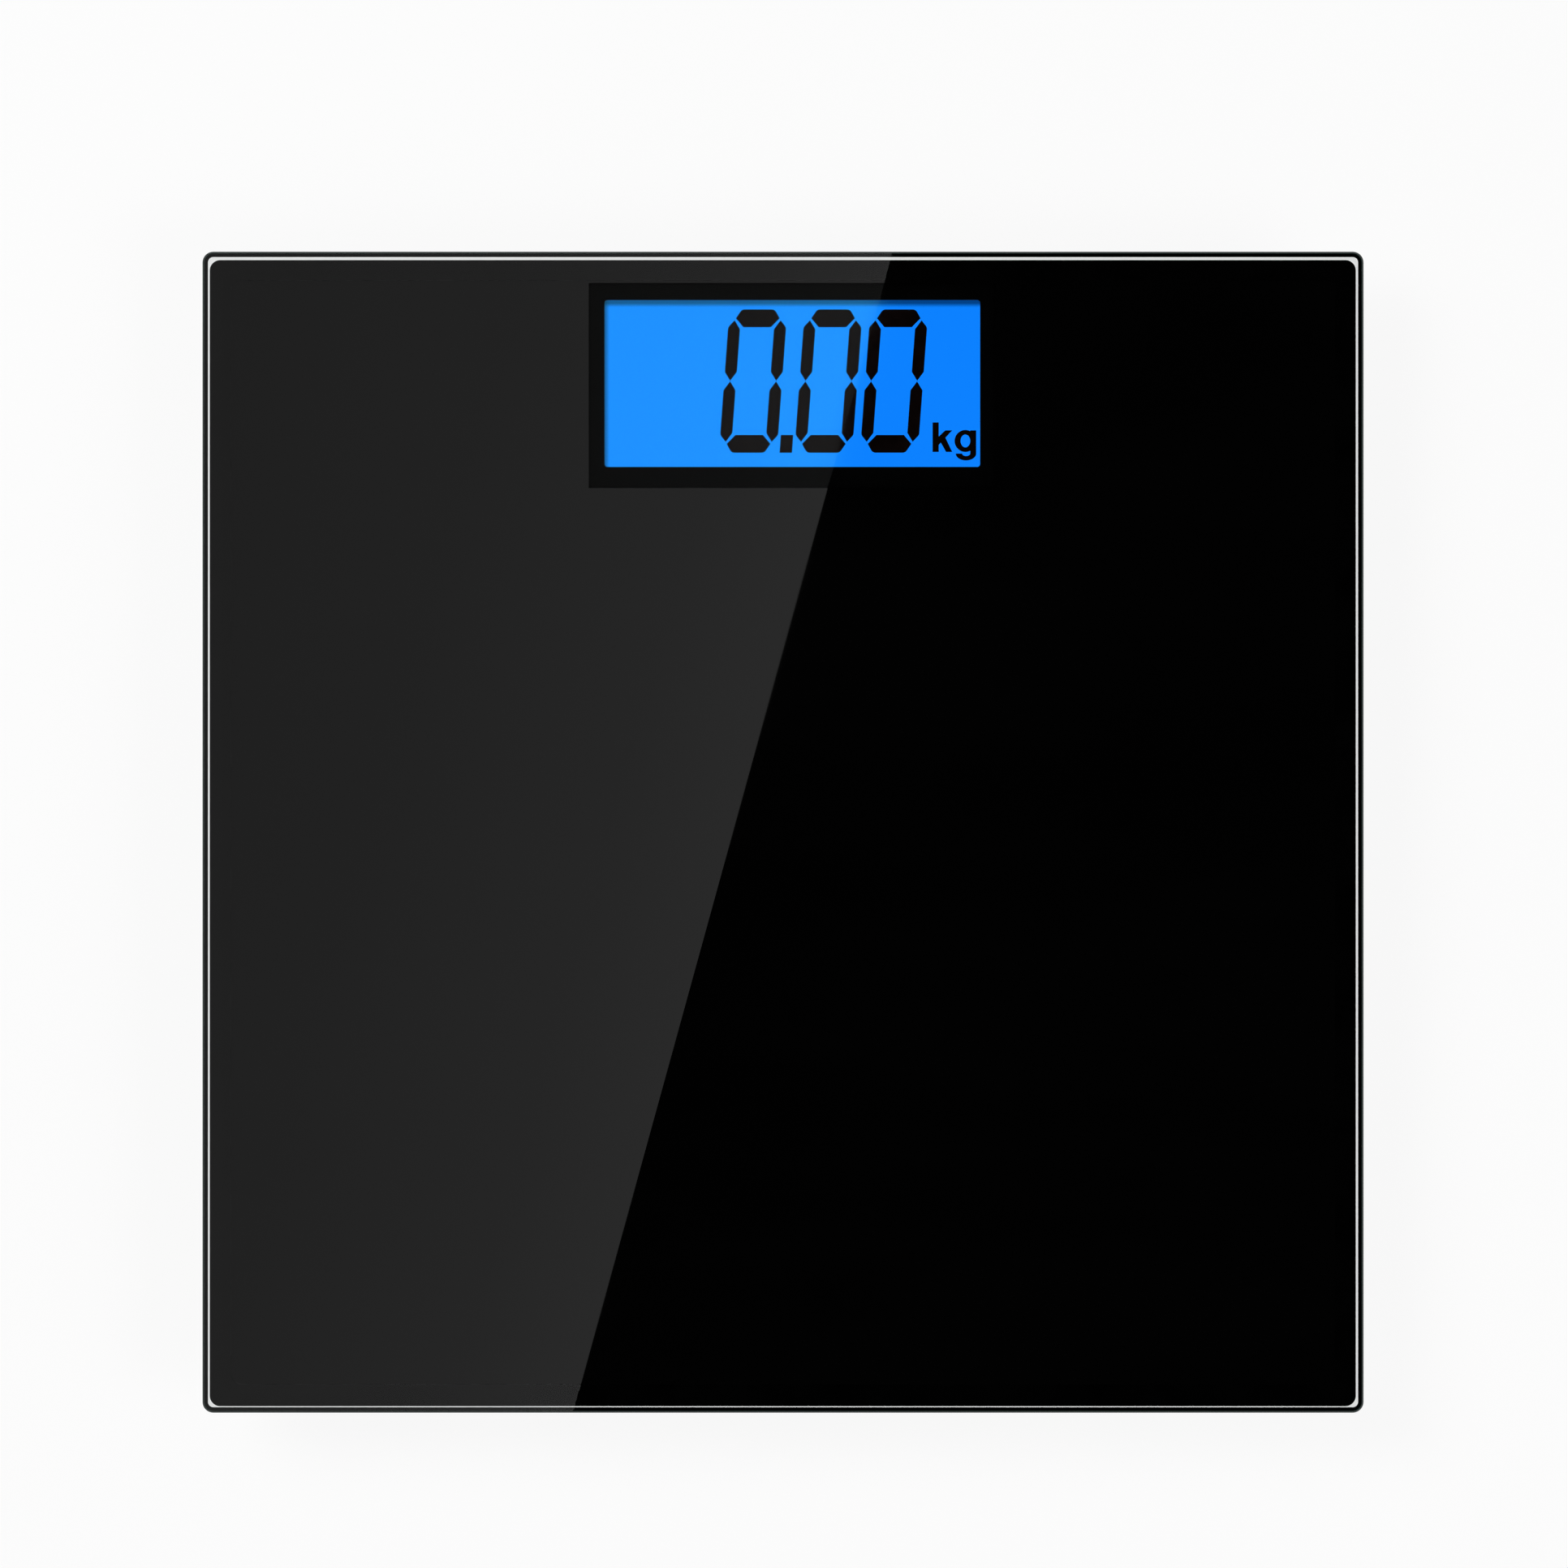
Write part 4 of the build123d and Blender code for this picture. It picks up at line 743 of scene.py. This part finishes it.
board_green = Finish("board_green_mask")
runs = board_green.cells(size=5 * MM, evenness=0.4, metric="CHEBYCHEV")
run_colours = (BOARD_GREEN, RUN_GREEN, RUN_GREEN, BOARD_GREEN)
board_green.set(
    Base_Color=board_green.ramp(runs, *zip(RUN_STEPS, run_colours)),
    Roughness=board_green.gloss(board_green.clouds(size=1.2 * MM), 0.22, 0.34),
)
board_green.emboss(board_green.span(runs, *RUN_STEPS[:2]), depth=0.03 * MM)
dress(board_green, "circuit_board")

# %% Connector strip
LAYER = 0.25 * MM
LAYER_ENDS = (0.45, 0.55)
RUBBER_PINK = (0.42, 0.20, 0.22)

strip_layers = Finish("connector_layered_rubber")
layer_tone = strip_layers.math("PINGPONG", strip_layers.axis("X"), LAYER)
layer_share = strip_layers.span(layer_tone, 0.0, LAYER)
strip_layers.set(
    Base_Color=strip_layers.tones(layer_share, RUBBER_PINK, grey(0.02), LAYER_ENDS),
    Roughness=0.7,
)
dress(strip_layers, "connector_strip")

# %% Light guide and LEDs
DOT_WHITE, GUIDE_BLUE = (0.90, 0.93, 0.96), (0.55, 0.68, 0.84)
DOT_ENDS = (0.22, 0.3)
LED_WHITE, LED_BLUE = grey(0.8), (0.35, 0.55, 0.92)
LED_ENDS = (0.6, 0.75)

guide_acrylic = Finish("guide_dotted_acrylic")
dots = guide_acrylic.cells(size=1.1 * MM, evenness=1.0)
guide_acrylic.set(
    Base_Color=guide_acrylic.tones(dots, DOT_WHITE, GUIDE_BLUE, DOT_ENDS),
    Roughness=guide_acrylic.gloss(dots, 0.5, 0.08, DOT_ENDS),
)
dress(guide_acrylic, "light_guide")
led_low, led_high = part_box("backlight_leds")
led_resin = Finish("led_blue_resin")
led_face = led_resin.span(led_resin.axis("X"), led_low.x, led_high.x)
led_resin.set(
    Base_Color=led_resin.tones(led_face, LED_WHITE, LED_BLUE, LED_ENDS),
    Roughness=led_resin.gloss(led_face, 0.5, 0.12, LED_ENDS),
)
dress(led_resin, "backlight_leds")

# %% Small board parts
CHIP_PITCH = 5.0 * MM
CHIP_END = 0.6 * MM
CHIP_EDGE = 0.7 * MM
CERAMIC_BROWN, SOLDER_GREY = (0.16, 0.11, 0.07), grey(0.6)

chips_low, chips_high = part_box("board_components")
chip_ends = Finish("ceramic_with_soldered_ends")
chip_middle = (chips_low.x + chips_high.x) / 2 + CHIP_PITCH / 2
from_middle = chip_ends.math("SUBTRACT", chip_ends.axis("X"), chip_middle)
off_middle = chip_ends.math("PINGPONG", from_middle, CHIP_PITCH / 2)
end_share = chip_ends.span(off_middle, CHIP_END, CHIP_EDGE)
chip_ends.set(
    Base_Color=chip_ends.ramp(end_share, (0.0, CERAMIC_BROWN), (1.0, SOLDER_GREY)),
    Metallic=end_share,
    Roughness=chip_ends.gloss(chip_ends.clouds(size=0.5 * MM), 0.3, 0.5),
)
dress(chip_ends, "board_components")

# %% [markdown]
# ## The batteries
# Two AAA cells lie end to end under the door, and show when it slides away. A printed sleeve
# covers the can, with a pale band near the positive end, and the steel shows at both ends. The
# colours run along the cell, so one ramp over its length does the whole print.

# %% Battery sleeves
SLEEVE_GREEN = (0.012, 0.13, 0.055)
SLEEVE_BAND = (0.62, 0.64, 0.60)
CAN_STEEL = grey(0.60)
SLEEVE_PRINT = (
    (0.0, CAN_STEEL), (0.02, SLEEVE_GREEN), (0.74, SLEEVE_GREEN), (0.75, SLEEVE_BAND),
    (0.93, SLEEVE_BAND), (0.935, SLEEVE_GREEN), (0.955, SLEEVE_GREEN), (0.96, CAN_STEEL),
)
BARE_ENDS = ((0.0, 1.0), (0.02, 0.0), (0.955, 0.0), (0.96, 1.0))

for name in ("battery_left", "battery_right"):
    cell_low, cell_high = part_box(name)
    sleeve = Finish(name + "_sleeve")
    length = sleeve.span(sleeve.axis("X"), cell_low.x, cell_high.x)
    scuffs = sleeve.clouds(size=1.5 * MM, stretch=(6, 1, 1), detail=5.0)
    sleeve.set(
        Base_Color=sleeve.ramp(length, *SLEEVE_PRINT),
        Metallic=sleeve.fade(length, BARE_ENDS),
        Roughness=sleeve.gloss(scuffs, 0.24, 0.38),
    )
    dress(sleeve, name)

# %% [markdown]
# ## Marks on the battery door
# A moulded arrow on each side of the grip bars shows which way the door slides. They are raised
# a third of a millimetre, so they are thin triangles of real geometry with drafted sides, and
# ride on the door.

# %% Arrows
ARROW_AWAY = 21.0 * MM
ARROW_WIDTH = 6.0 * MM
ARROW_LENGTH = 5.0 * MM
ARROW_RAISE = 0.35 * MM
ARROW_DRAFT = 0.82
ARROW_ROOT = 0.05 * MM

arrow_black = moulded(
    "arrow_polished_moulding", grey(0.045), roughness=0.22, grain=0.9 * MM, relief=0.01 * MM
)
door_low, door_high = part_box("battery_door")
cover_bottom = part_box("rear_cover")[0].z
door_middle = (door_low.x + door_high.x) / 2
arrow_y = (door_low.y + door_high.y) / 2
half_width, half_length = ARROW_WIDTH / 2, ARROW_LENGTH / 2
arrow_corners = ((0, -half_length), (half_width, half_length), (-half_width, half_length))
arrow_levels = ((cover_bottom - ARROW_RAISE, ARROW_DRAFT), (cover_bottom + ARROW_ROOT, 1.0))
for side, name in ((-1, "door_arrow_left"), (1, "door_arrow_right")):
    arrow_x = door_middle + side * ARROW_AWAY
    arrow = bmesh.new()
    rings = []
    for z, share in arrow_levels:
        points = [(arrow_x + x * share, arrow_y + y * share) for x, y in arrow_corners]
        rings.append(raise_ring(arrow, points, z))
    wall(arrow, *rings)
    for ring in rings:
        arrow.faces.new(ring)
    make_piece(arrow, name, "battery_hatch", "case_plastic", arrow_black)

# %% [markdown]
# ## The studio
# The photograph has a white ground with almost no shadow, as on a light table. The floor is
# white paint; to the camera, to mirrors and through glass most of its brightness is its own, so
# that it stays white, and the rest is lit, which keeps a soft shadow. Seen from below it is
# clear, so the underside can be looked at, and it lets the light of the lamps through.

# %% Floor paint
FLOOR_CLOUD = 0.3
FLOOR_OWN_SHARE = 0.895
FLOOR_SEEN = grey(1.0)

floor_paint = Finish("floor_white_paint")
floor_paint.set(
    Base_Color=floor_paint.tones(floor_paint.clouds(FLOOR_CLOUD), grey(0.86), grey(0.88)),
    Roughness=0.9,
    Specular_IOR_Level=0.1,
)
rays = floor_paint.node("LightPath").outputs
seen = floor_paint.math("MAXIMUM", rays["Is Camera Ray"], rays["Is Glossy Ray"])
seen = floor_paint.math("MAXIMUM", seen, rays["Is Transmission Ray"])
own_share = floor_paint.math("MULTIPLY", seen, FLOOR_OWN_SHARE)
own_light = floor_paint.node("Emission", Color=FLOOR_SEEN, Strength=1.0).outputs["Emission"]
painted = floor_paint.mixed(own_share, floor_paint.shader.outputs["BSDF"], own_light)
underneath = floor_paint.node("NewGeometry").outputs["Backfacing"]
clear_share = floor_paint.math("MAXIMUM", underneath, rays["Is Shadow Ray"])
no_floor = floor_paint.node("BsdfTransparent").outputs["BSDF"]
floor_paint.show(floor_paint.mixed(clear_share, painted, no_floor))
print("floor finish:", floor_paint.material.name)

# %% Floor
FLOOR_SIDE = 12.0
FLOOR_DROP = 0.2 * MM


def stage_sheet(name, corners, finish):
    """A flat sheet that belongs to the studio and not to the scale."""
    data = bpy.data.meshes.new(name)
    data.from_pydata(corners, [], [tuple(range(len(corners)))])
    data.materials.append(finish.material)
    sheet = bpy.data.objects.new(name, data)
    scene.collection.objects.link(sheet)
    return sheet


half_floor = FLOOR_SIDE / 2
floor_points = box_ring((-half_floor, -half_floor), (half_floor, half_floor))
stage_sheet("floor", [(x, y, -FLOOR_DROP) for x, y in floor_points], floor_paint)
print("floor", FLOOR_SIDE, "m wide")

# %% [markdown]
# The sky of the studio is white at the horizon and falls to black straight overhead, where the
# camera hangs: black glass seen from above mirrors exactly that dark patch, and seen from the
# side it mirrors the fall of the light, which is what makes it look like glass. The camera
# itself always sees white. Two soft boxes stand well to the sides; they light the scale but
# aren't mirrored in it, so that the glass stays black from every side. A weak lamp under the
# table lifts the dark underside.

# %% World
SKY_LIGHT = 0.72
SKY_SEEN = 1.0
DARK_FROM, DARK_TO = sin(radians(3)), sin(radians(60))        # heights on a dome of radius 1

world = bpy.data.worlds.new("studio_sky")
world.use_nodes = True
scene.world = world
sky = NodeKit(world.node_tree)
direction = sky.node("TexCoord").outputs["Generated"]
height = sky.node("SeparateXYZ", Vector=direction).outputs["Z"]
dome = sky.span(height, DARK_FROM, DARK_TO, low=1.0, high=0.0, curve="SMOOTHSTEP")
sky_rays = sky.node("LightPath").outputs
mirrored = sky.math("MAXIMUM", sky_rays["Is Glossy Ray"], sky_rays["Is Transmission Ray"])
strength = sky.span(mirrored, 0.0, 1.0, low=SKY_LIGHT, high=SKY_SEEN)
shown = sky.math("MAXIMUM", sky.math("MULTIPLY", strength, dome), sky_rays["Is Camera Ray"])
background = sky.tree.nodes["Background"]
sky.feed(background.inputs["Color"], grey(1.0))
sky.feed(background.inputs["Strength"], shown)
print("sky light", SKY_LIGHT)

# %% Lamps
LAMPS = {        # place and side in metres, power in watts, seen in mirrors
    "soft_box_left": ((-1.2, 0.7, 1.3), 1.0, 24.0, False),
    "soft_box_right": ((1.3, -0.6, 1.1), 0.9, 14.0, False),
    "table_glow": ((0.0, 0.0, -0.8), 0.8, 1.6, True),
}
for name, (place, side, power, in_mirrors) in LAMPS.items():
    lamp_data = bpy.data.lights.new(name, "AREA")
    lamp_data.size = side
    lamp_data.energy = power
    lamp = bpy.data.objects.new(name, lamp_data)
    lamp.location = place
    lamp.rotation_euler = (-Vector(place)).to_track_quat("-Z", "Y").to_euler()
    lamp.visible_glossy = in_mirrors
    scene.collection.objects.link(lamp)
print("lamps:", ", ".join(LAMPS))

# %% [markdown]
# ## The reflection on the glass
# The photograph shows a soft grey reflection over the left of the glass, with one clean slanted
# edge. It comes from a lit panel above the camera, so it is made that way: a glowing card that
# only mirrors can see. Light that leaves the glass for the camera came down from the card at the
# same angle, so a point on the glass is carried out to the card by similar triangles.

# %% From the glass to the card
CARD_HEIGHT = 2.0
SLANT_X, SLANT_Y, SLANT_LEAN = 27.2 * MM, 145.8 * MM, 0.2754

camera_x, camera_y = camera.location.x, camera.location.y
growth = (camera_height + CARD_HEIGHT) / camera_height


def on_card(x, y):
    """The point of the card that is mirrored at a point of the glass."""
    return (
        camera_x + (x - camera_x) * growth,
        camera_y + (y - camera_y) * growth,
        glass_top + CARD_HEIGHT,
    )


def slant(y):
    """Where the slanted edge of the reflection crosses the glass."""
    return SLANT_X + SLANT_LEAN * (y - SLANT_Y)


print("the card is", round(growth, 2), "times as large as its reflection")

# %% Card
CARD_LEFT = -200.0 * MM
CARD_END = 230.0 * MM
CARD_FADE = 160.0 * MM
CARD_TONES = ((0.0, 0.545), (0.2, 0.46), (0.6, 0.375), (1.0, 0.335))

card_light = Finish("card_light")
slant_x, slant_y, card_z = on_card(slant(0.0), 0.0)
slant_at_zero = slant_x - SLANT_LEAN * slant_y
lean = card_light.math("MULTIPLY", card_light.axis("Y"), SLANT_LEAN)
across = card_light.math("SUBTRACT", card_light.axis("X"), slant_at_zero)
from_slant = card_light.math("SUBTRACT", lean, across)
card_share = card_light.span(from_slant, 0.0, CARD_FADE * growth)
card_tone = card_light.fade(card_share, CARD_TONES)
card_light.show(card_light.node("Emission", Color=card_tone, Strength=1.0).outputs["Emission"])
card = stage_sheet(
    "mirror_card",
    [
        on_card(CARD_LEFT, -CARD_END),
        on_card(slant(-CARD_END), -CARD_END),
        on_card(slant(CARD_END), CARD_END),
        on_card(CARD_LEFT, CARD_END),
    ],
    card_light,
)
card.visible_camera = False
card.visible_diffuse = False
card.visible_shadow = False
print("card", round(card_z, 3), "m above the floor")

# %% [markdown]
# ## Nodes left without a finish
# Every CAD node should have a finish by now, and any that has none is printed.

# %% Nodes without a finish
undressed = sorted(name for name in nodes if name not in dressed and not nodes[name].hide_render)
print("nodes without a finish:", undressed)
